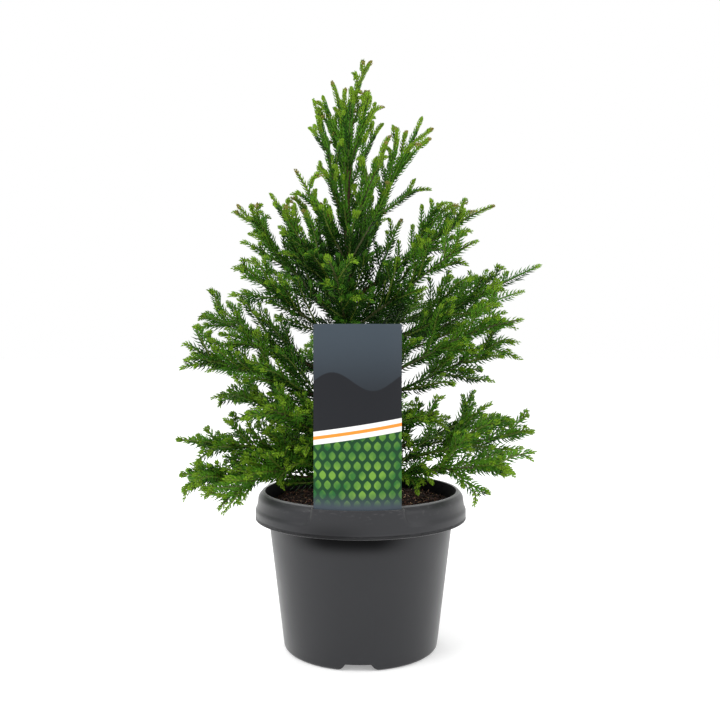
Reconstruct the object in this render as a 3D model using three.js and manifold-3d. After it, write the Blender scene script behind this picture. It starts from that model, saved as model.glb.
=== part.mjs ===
// A young cryptomeria, a dwarf conifer, growing in a nursery container pot with a picture label.
// Millimetres, +Z up, front towards -Y. The origin is the middle of the pot's underside.
import * as THREE from 'three';
import { mergeVertices } from 'three/addons/utils/BufferGeometryUtils.js';
import Module from 'manifold-3d';

const wasm = await Module();
wasm.setup();

// ---------------------------------------------------------------- driving dimensions

const CLEAR = 0.3; // gap between two pieces that touch
const MERGE = 1e-3; // vertices this close count as one
const SLIVER = 0.06; // faces thinner than this are tidied away after a join
const TWIST_STEP = 0.045; // a piece is turned on by this much where its faces join badly
const STRAIGHT = 1e-4; // a line whose ends point alike to this counts as straight

// 17 cm nursery pot: a tapered cup with a flared rim band and a moulded pocket for the label.
const POT = {
  height: 130,
  footRadius: 64.2, // outside of the wall, carried down to the floor
  neckRadius: 77.2, // outside of the wall under the rim band
  neckHeight: 105,
  wall: 1.9,
  baseRaise: 4.8, // the base plate stands this far above the foot ring
  baseThickness: 2.5,
  footRingWidth: 6,
  hubRadius: 8, // flat pad under the middle of the base
  draft: 1.5, // the sides of the pad and of the foot ring slope by this much
  footRound: 1.4,
  lipRadius: 82,
  lipWidth: 2.2,
  bandRadius: 85.2, // upper half of the rim band, rounded over to the lip
  skirtRadius: 87.6, // lower half of the rim band
  skirtHeight: 107,
  skirtWidth: 2,
  web: 3, // the web that carries the rim band is this far above its lower edge
  shoulderHeight: 116, // below it the rim band stands proud
  shoulderRound: 1,
  crownRound: 4, // height of the slope from the rim band to the lip
  edge: 0.5, // small rounds on the lip and the skirt
  turn: -1.7, // degrees: pocket and foot notches sit a little to the left
  sides: 40,
};
const NOTCH = { count: 4, topWidth: 20, footWidth: 28, height: 5.4, overrun: 1 };
const DRAIN = { count: 6, radius: 4.5, ring: 38, sides: 10 };
const POCKET = {
  halfAngle: 23.8,
  innerRadius: 83.8,
  outerRadius: 88.3,
  foot: 111,
  top: 127.8,
  floor: 114.6, // the label's slot reaches down to here
  sides: 9,
};
const LABEL = { radius: 86.2, thickness: 0.8, width: 65.6, top: 267 };
const SOIL = { height: 118, edgeDrop: 1.5, flatRadius: 16 };

// Trunk: centre line as height, x, y. It leans a little to the left and its leader bends back.
const TRUNK_LINE = [
  [118, -3, 0],
  [200, -7, 1],
  [300, -11, 1],
  [370, -11, 0],
  [444, -7.5, 0],
  [472, -2.5, 0],
  [487, 9, 0],
];
const TRUNK = {
  tip: 452,
  footRadius: 5.6,
  tipRadius: 1.5,
  taperPower: 0.85, // below 1 the trunk thins faster near its foot
  flare: 4.2,
  flareFade: 4.67, // the flare falls to a third over this height
  sides: 9,
  rings: 14,
  ringPower: 1.6, // above 1 the rings lie closer together near the foot
};

// Shoots: a slim three-sided core with whorls of three needles that point forwards.
const NEEDLE = {
  reach: 5,
  pitch: 15.5, // between two whorls
  lean: 1.1, // a needle's tip lies this many whorls ahead of its root
  tipShortening: 0.35,
  tail: 0.6, // bare tip of a shoot, in whorls
};
const CORE = { stem: 1.5, shoot: 1.1, tip: 0.7 };
const BOUGH = { thickness: 0.019, tipShare: 0.55, least: 1.7, sides: 5, rings: 4 };

// Side shoots of a mass, laid out along its stem.
const SHOOT = {
  goldenAngle: 137.5,
  firstShare: 0.1,
  lastShare: 0.86,
  spacingJitter: 0.5,
  angle: 46, // degrees off the stem
  angleJitter: 18,
  rollJitter: 40,
  flatten: 0.25, // sprays on a level stem are flat
  rounding: 0.6, // and rounder on a steep one
  lift: 0.5, // how far a shoot turns upwards on a steep stem
  leastRise: 0.12, // the steepness that a level stem counts as
  headShare: 0.5, // share of the lift that a shoot has at its root
  follow: 0.3, // how far its end turns along the stem
  bend: 0.55, // share of its length before the turn
  taper: 0.6, // shoots near the tip are shorter
  sizeJitter: 0.3,
  shortest: 15,
  freeFrom: 0.25, // a shoot is tested for room beyond this share of its length
  clearance: 11, // between the axes of shoots on two masses
  limbClearance: 6.2,
  spotStep: 5,
  trims: [1, 0.75, 0.55],
};

// Outline of the crown: its reach from the trunk at rising heights.
const CROWN = [
  { height: 100, reach: 142 },
  { height: 190, reach: 150 },
  { height: 320, reach: 128 },
  { height: 375, reach: 100 },
  { height: 400, reach: 80 },
  { height: 440, reach: 72 },
  { height: 490, reach: 24 },
];

// One row for each limb of the crown: its name, its height on the trunk, the way it points seen from
// above (degrees anticlockwise from +X), how far out and how high its tip is, the share of the height
// that it has gained halfway out, the share of it that is bare bough, its side shoots and their
// length as a share of its own.
const LIMBS = [
  ['leader', 452, 0, 0, 487, 0.6, 0, 2, 0.62],
  ['spire_left', 376, 144, 10, 476, 0.42, 0, 3, 0.3],
  ['spire_right', 402, -22, 22, 471, 0.4, 0, 3, 0.34],
  ['spires_far_left', 345, 192, 25, 459, 0.34, 0, 9, 0.42],
  ['spires_low_left', 320, 214, 46, 392, 0.4, 0, 5, 0.45],
  ['spires_right', 318, 5, 66, 450, 0.42, 0, 7, 0.4],
  ['spires_low_right', 338, -34, 41, 424, 0.42, 0, 5, 0.42],
  ['left_a', 262, 173, 94, 373, 0.42, 0.3, 7, 0.42],
  ['left_b', 284, 203, 68, 375, 0.42, 0, 6, 0.4],
  ['left_c', 246, 204, 94, 316, 0.45, 0.3, 7, 0.45],
  ['left_d', 216, 171, 129, 284, 0.48, 0.3, 8, 0.4],
  ['left_e', 196, 190, 135, 248, 0.5, 0.3, 8, 0.4],
  ['left_f', 152, 179, 135, 167, 0.9, 0.3, 8, 0.42],
  ['left_g', 136, 190, 145, 141, 2, 0.34, 7, 0.4],
  ['left_h', 168, 165, 118, 212, 0.6, 0.3, 7, 0.42],
  ['left_i', 160, 222, 96, 208, 0.5, 0, 9, 0.48],
  ['left_j', 142, 207, 124, 126, -1.8, 0, 7, 0.36],
  ['left_k', 296, 168, 44, 377, 0.42, 0, 5, 0.4],
  ['right_a', 286, 3, 117, 377, 0.45, 0.3, 8, 0.4],
  ['right_b', 262, -25, 103, 336, 0.45, 0, 7, 0.42],
  ['right_c', 236, -3, 151, 319, 0.45, 0.28, 8, 0.36],
  ['right_d', 226, 18, 153, 305, 0.45, 0.28, 8, 0.38],
  ['right_e', 210, -22, 133, 279, 0.48, 0.3, 7, 0.4],
  ['right_f', 194, 5, 138, 257, 0.5, 0.3, 8, 0.38],
  ['right_g', 142, -2, 157, 180, 0.7, 0.3, 8, 0.4],
  ['right_h', 132, -23, 135, 157, 0.9, 0.36, 7, 0.42],
  ['right_i', 152, 19, 158, 187, 0.7, 0.3, 8, 0.34],
  ['right_j', 167, -24, 80, 200, 0.5, 0, 7, 0.4],
  ['front_a', 252, -98, 76, 318, 0.42, 0, 7, 0.45],
  ['front_b', 206, -72, 62, 238, 0.5, 0, 7, 0.5],
  ['back_a', 300, 72, 82, 385, 0.42, 0, 7, 0.42],
  ['back_b', 270, 118, 104, 346, 0.45, 0.3, 7, 0.42],
  ['back_c', 242, 62, 122, 290, 0.48, 0.3, 8, 0.42],
  ['back_d', 206, 105, 126, 250, 0.5, 0.3, 8, 0.42],
  ['back_e', 160, 75, 128, 190, 0.7, 0.34, 8, 0.42],
  ['back_f', 140, 122, 126, 160, 0.9, 0.38, 7, 0.42],
].map(([name, foot, turn, reach, tip, lift, bare, shoots, spread]) => ({
  name,
  foot,
  turn,
  reach,
  tip,
  lift,
  bare,
  shoots,
  spread,
}));

// ---------------------------------------------------------------- finishes

const FINISH = {
  pot: { color: 0x46474c, roughness: 0.45, metalness: 0 },
  soil: { color: 0x2c2019, roughness: 1, metalness: 0 },
  label: { color: 0x424b55, roughness: 0.35, metalness: 0 },
  bark: { color: 0x6a4630, roughness: 0.85, metalness: 0 },
  needles: { color: 0x3f6d22, roughness: 0.6, metalness: 0 },
};

// ---------------------------------------------------------------- small helpers

const UP = new THREE.Vector3(0, 0, 1);
const radians = THREE.MathUtils.degToRad;
const mix = THREE.MathUtils.lerp;

/** Repeatable random numbers from 0 to 1. */
function seeded(seed) {
  const range = 4294967296;
  let state = seed;
  return () => {
    state = (state * 1664525 + 1013904223) % range;
    return state / range;
  };
}

/** A geometry with its position only, and its shared vertices merged. */
function mergedOf(geometry, distance) {
  const bare = geometry.clone();
  for (const name of ['normal', 'uv']) bare.deleteAttribute(name);
  return mergeVertices(bare, distance);
}

/** A closed three.js geometry as a solid that can be joined and cut. */
function solidOf(geometry, distance = 1e-4) {
  const merged = mergedOf(geometry, distance);
  const mesh = new wasm.Mesh({
    numProp: 3,
    vertProperties: new Float32Array(merged.attributes.position.array),
    triVerts: new Uint32Array(merged.index.array),
  });
  return new wasm.Manifold(mesh);
}

/** The largest body of a solid as a geometry: scraps, sealed hollows and sliver faces are dropped. */
function geometryOf(solid) {
  const bodies = solid.decompose().sort((a, b) => b.volume() - a.volume());
  const mesh = bodies[0].asOriginal().simplify(SLIVER).getMesh();
  const geometry = new THREE.BufferGeometry();
  geometry.setAttribute('position', new THREE.BufferAttribute(mesh.vertProperties, 3));
  geometry.setIndex(new THREE.BufferAttribute(mesh.triVerts, 1));
  geometry.computeVertexNormals();
  return geometry;
}

/** True where a geometry stays one body, with two faces on each edge, once close vertices are merged. */
function isSound(geometry) {
  const solid = solidOf(geometry, MERGE);
  if (solid.decompose().length !== 1) return false;
  const { vertProperties, triVerts } = solid.getMesh();
  const numbers = new Map();
  const corners = Array.from(triVerts, (vertex) => {
    const place = Array.from(vertProperties.slice(3 * vertex, 3 * vertex + 3), (value) => value.toFixed(4));
    const key = place.join(' ');
    if (!numbers.has(key)) numbers.set(key, numbers.size);
    return numbers.get(key);
  });
  const uses = new Map();
  for (let corner = 0; corner < corners.length; corner += 1) {
    const from = corners[corner];
    const to = corners[corner % 3 === 2 ? corner - 2 : corner + 1];
    const edge = Math.min(from, to) * numbers.size + Math.max(from, to);
    if (from === to) return false;
    uses.set(edge, (uses.get(edge) ?? 0) + 1);
  }
  return [...uses.values()].every((count) => count === 2);
}

/** A closed skin over rings of equally many points, with a point in the middle of each end. */
function skin(rings, start, end) {
  const sides = rings[0].length;
  const points = [start, ...rings.flat(), end];
  const last = points.length - 1;
  const faces = [];
  const at = (ring, side) => 1 + ring * sides + (side % sides);
  for (let side = 0; side < sides; side += 1) {
    faces.push(0, at(0, side + 1), at(0, side));
    for (let ring = 0; ring < rings.length - 1; ring += 1) {
      faces.push(at(ring, side), at(ring, side + 1), at(ring + 1, side + 1));
      faces.push(at(ring, side), at(ring + 1, side + 1), at(ring + 1, side));
    }
    faces.push(at(rings.length - 1, side), at(rings.length - 1, side + 1), last);
  }
  const geometry = new THREE.BufferGeometry().setFromPoints(points);
  geometry.setIndex(faces);
  geometry.computeVertexNormals();
  return geometry;
}

/** Two directions square to an axis. */
function squareTo(axis) {
  const hint = Math.abs(axis.z) > 0.9 ? new THREE.Vector3(1, 0, 0) : UP;
  const across = new THREE.Vector3().crossVectors(hint, axis).normalize();
  const above = new THREE.Vector3().crossVectors(axis, across).normalize();
  return [across, above];
}

/** A direction square to the whole of a line that bends in one plane. */
function acrossOf(curve) {
  const across = new THREE.Vector3().crossVectors(curve.getTangent(0), curve.getTangent(1));
  return across.length() > STRAIGHT ? across.normalize() : squareTo(curve.getTangent(0))[0];
}

/** A ring of points round a centre, square to an axis. */
function ringOf(centre, axis, across, radius, sides, turn = 0) {
  const above = new THREE.Vector3().crossVectors(axis, across).normalize();
  return Array.from({ length: sides }, (_, side) => {
    const angle = turn + (side / sides) * 2 * Math.PI;
    return centre
      .clone()
      .addScaledVector(across, radius * Math.cos(angle))
      .addScaledVector(above, radius * Math.sin(angle));
  });
}

/** A ring of points round a place on a line, turned evenly with the others on that line. */
function ringOn(curve, place, radius, sides, turn) {
  return ringOf(curve.getPoint(place), curve.getTangent(place), acrossOf(curve), radius, sides, turn);
}

const lengthOf = (curve, from = 0, to = 1, steps = 12) => {
  let sum = 0;
  let last = curve.getPoint(from);
  for (let step = 1; step <= steps; step += 1) {
    const next = curve.getPoint(mix(from, to, step / steps));
    sum += next.distanceTo(last);
    last = next;
  }
  return sum;
};

// ---------------------------------------------------------------- trunk

/** Centre of the trunk at a height, on straight pieces between the points of its line. */
function trunkCentre(height) {
  const rows = TRUNK_LINE;
  let row = 1;
  while (row < rows.length - 1 && rows[row][0] < height) row += 1;
  const [low, high] = [rows[row - 1], rows[row]];
  const share = (height - low[0]) / (high[0] - low[0]);
  return new THREE.Vector3(mix(low[1], high[1], share), mix(low[2], high[2], share), height);
}

/** Radius of the trunk at a height: an even taper with a flare at the soil. */
function trunkRadius(height) {
  const share = THREE.MathUtils.clamp((height - SOIL.height) / (TRUNK.tip - SOIL.height), 0, 1);
  const flare = TRUNK.flare * Math.exp((SOIL.height - height) / TRUNK.flareFade);
  return mix(TRUNK.footRadius, TRUNK.tipRadius, share ** TRUNK.taperPower) + flare;
}

/** The trunk, from its flat cut on the soil to where the leader's shoot begins. */
function trunkGeometry(extra = 0) {
  const foot = SOIL.height + CLEAR;
  const [across] = squareTo(UP);
  const rings = Array.from({ length: TRUNK.rings }, (_, ring) => {
    const share = ring / (TRUNK.rings - 1);
    const height = mix(foot, TRUNK.tip, share ** TRUNK.ringPower);
    return ringOf(trunkCentre(height), UP, across, trunkRadius(height) + extra, TRUNK.sides);
  });
  return skin(rings, trunkCentre(foot), trunkCentre(TRUNK.tip));
}

// ---------------------------------------------------------------- limbs

/** The line of a limb, from the middle of the trunk to the tip of its last shoot. */
function limbCurve(limb) {
  const foot = trunkCentre(limb.foot);
  const outward = new THREE.Vector3(Math.cos(radians(limb.turn)), Math.sin(radians(limb.turn)), 0);
  const tip = foot.clone().addScaledVector(outward, limb.reach).setZ(limb.tip);
  if (limb.foot >= TRUNK.tip) tip.copy(trunkCentre(limb.tip));
  const middle = foot.clone().lerp(tip, 0.5).setZ(mix(limb.foot, limb.tip, limb.lift));
  if (limb.foot >= TRUNK.tip) middle.copy(trunkCentre(TRUNK_LINE.at(-2)[0]));
  return new THREE.QuadraticBezierCurve3(foot, middle, tip);
}

const boughRadius = (limb) => Math.max(BOUGH.least, BOUGH.thickness * limb.length);

/** A tapering bough, cut to the round of the bark and square where its mass begins. */
function boughAt(limb, twist) {
  const rings = Array.from({ length: BOUGH.rings }, (_, ring) => {
    const share = ring / (BOUGH.rings - 1);
    const radius = boughRadius(limb) * mix(1, BOUGH.tipShare, share);
    return ringOn(limb.curve, limb.bare * share, radius, BOUGH.sides, twist);
  });
  const bough = skin(rings, limb.curve.getPoint(0), limb.curve.getPoint(limb.bare));
  return geometryOf(solidOf(bough).subtract(solidOf(trunkGeometry(CLEAR))));
}

// ---------------------------------------------------------------- masses of foliage

/** Evenly spaced points along a line, each with the room that it needs. */
function spotsAlong(curve, from, to, room) {
  const count = Math.max(2, Math.ceil(lengthOf(curve, from, to) / SHOOT.spotStep));
  return Array.from({ length: count + 1 }, (_, spot) => ({
    point: curve.getPoint(mix(from, to, spot / count)),
    room,
  }));
}

/** True where a shoot would touch the pot, the soil or the label, or reach the floor. */
function meetsPot(point) {
  const radius = Math.hypot(point.x, point.y);
  const margin = NEEDLE.reach + 1;
  const overSoil = radius < POT.lipRadius - POT.lipWidth - margin && point.z > SOIL.height + margin;
  const nearPot = radius < POT.skirtRadius + margin && point.z < POT.height + margin;
  const nearLabel =
    point.y < -(LABEL.radius * Math.cos(radians(POCKET.halfAngle)) - margin) &&
    Math.abs(point.x) < LABEL.width / 2 + 2 * margin &&
    point.z < LABEL.top + margin;
  return (nearPot && !overSoil) || nearLabel || point.z < margin;
}

/** How far the crown reaches from the trunk at a height, on straight pieces between named rings. */
function crownReach(height) {
  let row = 1;
  while (row < CROWN.length - 1 && CROWN[row].height < height) row += 1;
  const [low, high] = [CROWN[row - 1], CROWN[row]];
  return mix(low.reach, high.reach, (height - low.height) / (high.height - low.height));
}

/** True where a new shoot stays in the crown, clear of all that stands and of the other masses. */
function fits(spots, mass, taken) {
  return spots.every(({ point }) => {
    const centre = trunkCentre(THREE.MathUtils.clamp(point.z, SOIL.height, TRUNK.tip));
    if (Math.hypot(point.x - centre.x, point.y - centre.y) > crownReach(point.z)) return false;
    if (meetsPot(point)) return false;
    return taken.every((other) => {
      if (other.mass === mass) return true;
      return point.distanceTo(other.point) > other.room;
    });
  });
}

/** The line of side shoot number `index` of a limb, before it is tested for room. */
function shootCurve(limb, index, random, trim) {
  const jitter = () => random() - 0.5;
  const share = (index + 0.5 + SHOOT.spacingJitter * jitter()) / limb.shoots;
  const along = mix(SHOOT.firstShare, SHOOT.lastShare, share);
  const place = mix(limb.bare, 1, along);
  const root = limb.curve.getPoint(place);
  const axis = limb.curve.getTangent(place);
  const [across, above] = squareTo(axis);
  const roll = radians(limb.turn + index * SHOOT.goldenAngle + SHOOT.rollJitter * jitter());
  const flatten = SHOOT.flatten + SHOOT.rounding * Math.max(0, axis.z);
  const aside = across.multiplyScalar(Math.cos(roll)).addScaledVector(above, flatten * Math.sin(roll));
  const angle = radians(SHOOT.angle + SHOOT.angleJitter * jitter());
  const lift = SHOOT.lift * Math.max(SHOOT.leastRise, axis.z);
  const heading = axis
    .clone()
    .multiplyScalar(Math.cos(angle))
    .addScaledVector(aside.normalize(), Math.sin(angle))
    .addScaledVector(UP, SHOOT.headShare * lift)
    .normalize();
  const size = limb.length * limb.spread * (1 - SHOOT.taper * along) * (1 + SHOOT.sizeJitter * jitter());
  const length = Math.max(SHOOT.shortest, size) * trim;
  const middle = root.clone().addScaledVector(heading, SHOOT.bend * length);
  const ending = heading.clone().addScaledVector(UP, lift).addScaledVector(axis, SHOOT.follow);
  const tip = middle.clone().addScaledVector(ending.normalize(), (1 - SHOOT.bend) * length);
  return new THREE.QuadraticBezierCurve3(root, middle, tip);
}

/** Lays out the stem and side shoots of every mass, so that each mass keeps to its own space. */
function growCrown() {
  const taken = [];
  for (let height = SOIL.height; height < TRUNK.tip; height += SHOOT.spotStep) {
    const room = trunkRadius(height) + SHOOT.limbClearance;
    taken.push({ point: trunkCentre(height), mass: 'trunk', room });
  }
  const limbs = LIMBS.map((row) => {
    const limb = { ...row, curve: limbCurve(row) };
    limb.length = lengthOf(limb.curve);
    limb.sides = [];
    return limb;
  });
  for (const limb of limbs) {
    const bough = spotsAlong(limb.curve, 0, limb.bare, boughRadius(limb) + SHOOT.limbClearance);
    const stem = spotsAlong(limb.curve, limb.bare, 1, SHOOT.clearance);
    taken.push(...bough.map((spot) => ({ ...spot, mass: 'bough' })));
    taken.push(...stem.map((spot) => ({ ...spot, mass: limb.name })));
  }
  const most = Math.max(...limbs.map((limb) => limb.shoots));
  for (let index = 0; index < most; index += 1) {
    limbs.forEach((limb, row) => {
      if (index >= limb.shoots) return;
      for (const trim of SHOOT.trims) {
        const curve = shootCurve(limb, index, seeded(1000 * row + 37 * index + 11), trim);
        const spots = spotsAlong(curve, SHOOT.freeFrom, 1, SHOOT.clearance);
        if (fits(spots, limb.name, taken)) {
          limb.sides.push(curve);
          taken.push(...spots.map((spot) => ({ ...spot, mass: limb.name })));
          return;
        }
      }
    });
  }
  return limbs;
}

/** A tapering three-sided core with whorls of three needles that lean forwards along it. */
function spikedShoot(curve, from, rootRadius, twist) {
  const length = lengthOf(curve, from, 1);
  const whorls = Math.max(2, Math.round((length - NEEDLE.reach) / NEEDLE.pitch));
  const pitch = length / (whorls + NEEDLE.tail);
  const rings = [];
  for (let whorl = 0; whorl < whorls; whorl += 1) {
    const turn = twist - whorl * (Math.PI / 3);
    const inner = mix(from, 1, (whorl * pitch) / length);
    const outer = mix(from, 1, Math.min(1, ((whorl + NEEDLE.lean) * pitch) / length));
    const share = whorl / whorls;
    const core = mix(rootRadius, CORE.tip, share);
    const reach = NEEDLE.reach * (1 - NEEDLE.tipShortening * share ** 2);
    rings.push(ringOn(curve, inner, core, 3, turn));
    rings.push(ringOn(curve, outer, reach, 3, turn));
  }
  const last = mix(from, 1, (whorls * pitch) / length);
  rings.push(ringOn(curve, last, CORE.tip, 3, twist - whorls * (Math.PI / 3)));
  return skin(rings, curve.getPoint(from), curve.getPoint(1));
}

/** One mass: its stem, from the end of its bough or the trunk's bark, with its side shoots fused on. */
function massAt(limb, twist) {
  const onTrunk = limb.bare === 0 && limb.foot < TRUNK.tip;
  const from = limb.bare + (onTrunk ? 0 : CLEAR / limb.length);
  const shoots = [solidOf(spikedShoot(limb.curve, from, CORE.stem, twist))];
  for (const side of limb.sides) shoots.push(solidOf(spikedShoot(side, 0, CORE.shoot, twist)));
  const mass = shoots.reduce((sum, shoot) => sum.add(shoot));
  return geometryOf(onTrunk ? mass.subtract(solidOf(trunkGeometry(CLEAR))) : mass);
}

/** A limb's piece, turned a little further round its line until its faces join without slivers. */
function soundPiece(makeAt, limb) {
  for (let twist = 0; twist < Math.PI; twist += TWIST_STEP) {
    const geometry = makeAt(limb, twist);
    if (isSound(geometry)) return geometry;
  }
  throw new Error(`no sound piece for ${limb.name}`);
}

// ---------------------------------------------------------------- pot, soil and label

/** Half outline of the pot's wall, from the middle of its underside round the lip to the floor inside. */
function potOutline() {
  const wallAt = (height) => mix(POT.footRadius, POT.neckRadius, height / POT.neckHeight);
  const floor = POT.baseRaise + POT.baseThickness;
  const ring = POT.footRadius - POT.footRingWidth;
  const lipInner = POT.lipRadius - POT.lipWidth;
  const skirtInner = POT.skirtRadius - POT.skirtWidth;
  const web = POT.skirtHeight + POT.web;
  return [
    [0, 0],
    [POT.hubRadius, 0],
    [POT.hubRadius + POT.draft, POT.baseRaise],
    [ring - POT.draft, POT.baseRaise],
    [ring, 0],
    [POT.footRadius - POT.footRound, 0],
    [wallAt(POT.footRound), POT.footRound],
    [POT.neckRadius, POT.neckHeight],
    [lipInner, web],
    [skirtInner - POT.edge / 2, web],
    [skirtInner, POT.skirtHeight],
    [POT.skirtRadius - POT.edge, POT.skirtHeight],
    [POT.skirtRadius, POT.skirtHeight + 2 * POT.edge],
    [POT.skirtRadius - POT.edge, POT.shoulderHeight - POT.shoulderRound],
    [POT.bandRadius, POT.shoulderHeight + POT.shoulderRound],
    [POT.bandRadius - POT.edge, POT.height - POT.crownRound],
    [POT.lipRadius, POT.height - POT.edge],
    [lipInner + POT.edge, POT.height],
    [lipInner, POT.height - POT.edge],
    [lipInner - POT.edge, web + POT.wall],
    [POT.neckRadius - POT.wall, POT.neckHeight - POT.edge],
    [wallAt(floor) - POT.wall, floor + POT.footRound],
    [wallAt(floor) - POT.wall - POT.footRound, floor],
    [0, floor],
  ];
}

/** A block standing on a slice of a ring at the front of the pot. */
function frontSlice(innerRadius, outerRadius, halfAngle, low, high) {
  const shape = new THREE.Shape();
  const from = radians(-90 - halfAngle);
  const to = radians(-90 + halfAngle);
  shape.absarc(0, 0, outerRadius, from, to, false);
  shape.absarc(0, 0, innerRadius, to, from, true);
  const options = { depth: high - low, bevelEnabled: false, curveSegments: POCKET.sides };
  return new THREE.ExtrudeGeometry(shape, options).translate(0, 0, low);
}

/** Wedge that cuts one drain notch through the foot ring. */
function notchCutter(turn) {
  const shape = new THREE.Shape();
  shape.moveTo(-NOTCH.footWidth / 2 - NOTCH.overrun, -NOTCH.overrun);
  shape.lineTo(NOTCH.footWidth / 2 + NOTCH.overrun, -NOTCH.overrun);
  shape.lineTo(NOTCH.topWidth / 2, NOTCH.height);
  shape.lineTo(-NOTCH.topWidth / 2, NOTCH.height);
  const depth = 3 * POT.footRingWidth;
  const cutter = new THREE.ExtrudeGeometry(shape, { depth, bevelEnabled: false });
  cutter.rotateX(Math.PI / 2).translate(0, -(POT.footRadius - 2 * POT.footRingWidth), 0);
  return cutter.rotateZ(turn);
}

function potGeometry() {
  const outline = potOutline().map(([radius, height]) => new THREE.Vector2(radius, height));
  const wall = new THREE.LatheGeometry(outline, POT.sides).rotateX(Math.PI / 2);
  let pot = solidOf(wall);
  const { innerRadius, outerRadius, halfAngle, foot, top } = POCKET;
  const panel = frontSlice(innerRadius, outerRadius, halfAngle, foot, top);
  const room = CLEAR + LABEL.thickness / 2;
  const cardAngle = labelHalfAngle() + THREE.MathUtils.radToDeg((2 * CLEAR) / LABEL.radius);
  const slot = frontSlice(LABEL.radius - room, LABEL.radius + room, cardAngle, POCKET.floor, POT.height);
  pot = pot.add(solidOf(panel)).subtract(solidOf(slot));
  for (let notch = 0; notch < NOTCH.count; notch += 1) {
    pot = pot.subtract(solidOf(notchCutter((notch / NOTCH.count) * 2 * Math.PI)));
  }
  for (let hole = 0; hole < DRAIN.count; hole += 1) {
    const drill = new THREE.CylinderGeometry(DRAIN.radius, DRAIN.radius, 2 * POT.height, DRAIN.sides);
    drill.rotateX(Math.PI / 2).translate(DRAIN.ring, 0, 0);
    pot = pot.subtract(solidOf(drill.rotateZ(((hole + 0.5) / DRAIN.count) * 2 * Math.PI)));
  }
  return geometryOf(pot);
}

/** Potting soil: it fills the pot 0.3 mm clear of its wall, to a finger's breadth under the lip. */
function soilGeometry() {
  const outline = potOutline();
  const wall = outline.slice(outline.length - 5);
  const [rim, neck, low, floor] = wall;
  const rimEdge = rim[0] - CLEAR;
  const top = SOIL.height - SOIL.edgeDrop;
  const points = [
    [0, floor[1] + CLEAR],
    [floor[0] - CLEAR, floor[1] + CLEAR],
    [low[0] - CLEAR, low[1] + CLEAR],
    [neck[0] - CLEAR, neck[1]],
    [rimEdge, rim[1] + CLEAR],
    [rimEdge, top],
    [SOIL.flatRadius, SOIL.height],
    [0, SOIL.height],
  ];
  const half = points.map(([radius, height]) => new THREE.Vector2(radius, height));
  return geometryOf(solidOf(new THREE.LatheGeometry(half, POT.sides).rotateX(Math.PI / 2)));
}

function labelHalfAngle() {
  return THREE.MathUtils.radToDeg(Math.asin(LABEL.width / 2 / LABEL.radius));
}

/** The label: a stiff card, bent to the curve of the rim and stood in its pocket. */
function labelGeometry() {
  const [inner, outer] = [LABEL.radius - LABEL.thickness / 2, LABEL.radius + LABEL.thickness / 2];
  const card = frontSlice(inner, outer, labelHalfAngle(), POCKET.floor + CLEAR, LABEL.top);
  return geometryOf(solidOf(card));
}

// ---------------------------------------------------------------- the part

function meshOf(name, geometry, finish) {
  const mesh = new THREE.Mesh(geometry, new THREE.MeshStandardMaterial(FINISH[finish]));
  mesh.name = name;
  return mesh;
}

const part = new THREE.Group();

const container = new THREE.Group();
container.rotation.z = radians(POT.turn);
container.add(meshOf('pot', potGeometry(), 'pot'));
container.add(meshOf('soil', soilGeometry(), 'soil'));
container.add(meshOf('label_card', labelGeometry(), 'label'));
part.add(container);

part.add(meshOf('trunk', trunkGeometry(), 'bark'));
for (const limb of growCrown()) {
  if (limb.bare > 0) part.add(meshOf(`bough_${limb.name}`, soundPiece(boughAt, limb), 'bark'));
  part.add(meshOf(`foliage_${limb.name}`, soundPiece(massAt, limb), 'needles'));
}

export default part;
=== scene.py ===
"""Dresses the potted cryptomeria: pot, soil, label, bark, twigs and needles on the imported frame.

Metres, +Z up, front towards -Y. The crown grows by the rule that shaped its solids, and goes on from
there with finer twigs and with needles.
"""

import functools
import math
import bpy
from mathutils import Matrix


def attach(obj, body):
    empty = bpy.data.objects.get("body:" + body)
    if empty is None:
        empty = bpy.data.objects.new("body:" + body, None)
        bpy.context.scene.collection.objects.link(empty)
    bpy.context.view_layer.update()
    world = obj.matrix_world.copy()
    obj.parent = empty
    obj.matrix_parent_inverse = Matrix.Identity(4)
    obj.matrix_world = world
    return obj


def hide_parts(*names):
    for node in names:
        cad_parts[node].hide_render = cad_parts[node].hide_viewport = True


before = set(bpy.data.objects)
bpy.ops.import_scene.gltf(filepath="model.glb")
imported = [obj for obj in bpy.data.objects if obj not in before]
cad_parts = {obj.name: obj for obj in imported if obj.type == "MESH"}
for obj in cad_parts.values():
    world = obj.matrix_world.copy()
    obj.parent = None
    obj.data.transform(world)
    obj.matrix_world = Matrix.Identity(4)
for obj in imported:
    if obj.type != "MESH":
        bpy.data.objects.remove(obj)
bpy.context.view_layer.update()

from types import SimpleNamespace as Table

import bpy
import numpy as np
from bpy.props import FloatProperty, FloatVectorProperty, IntProperty, PointerProperty
from mathutils import Vector, noise

bl_info = {
    "name": "Potted Cryptomeria",
    "version": (1, 0, 0),
    "blender": (4, 5, 0),
    "location": "3D Viewport > Sidebar > Cryptomeria",
    "description": "Builds a young cryptomeria in a nursery pot with its bark, twigs and needles",
    "category": "Add Mesh",
}

# ---- sizes

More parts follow.
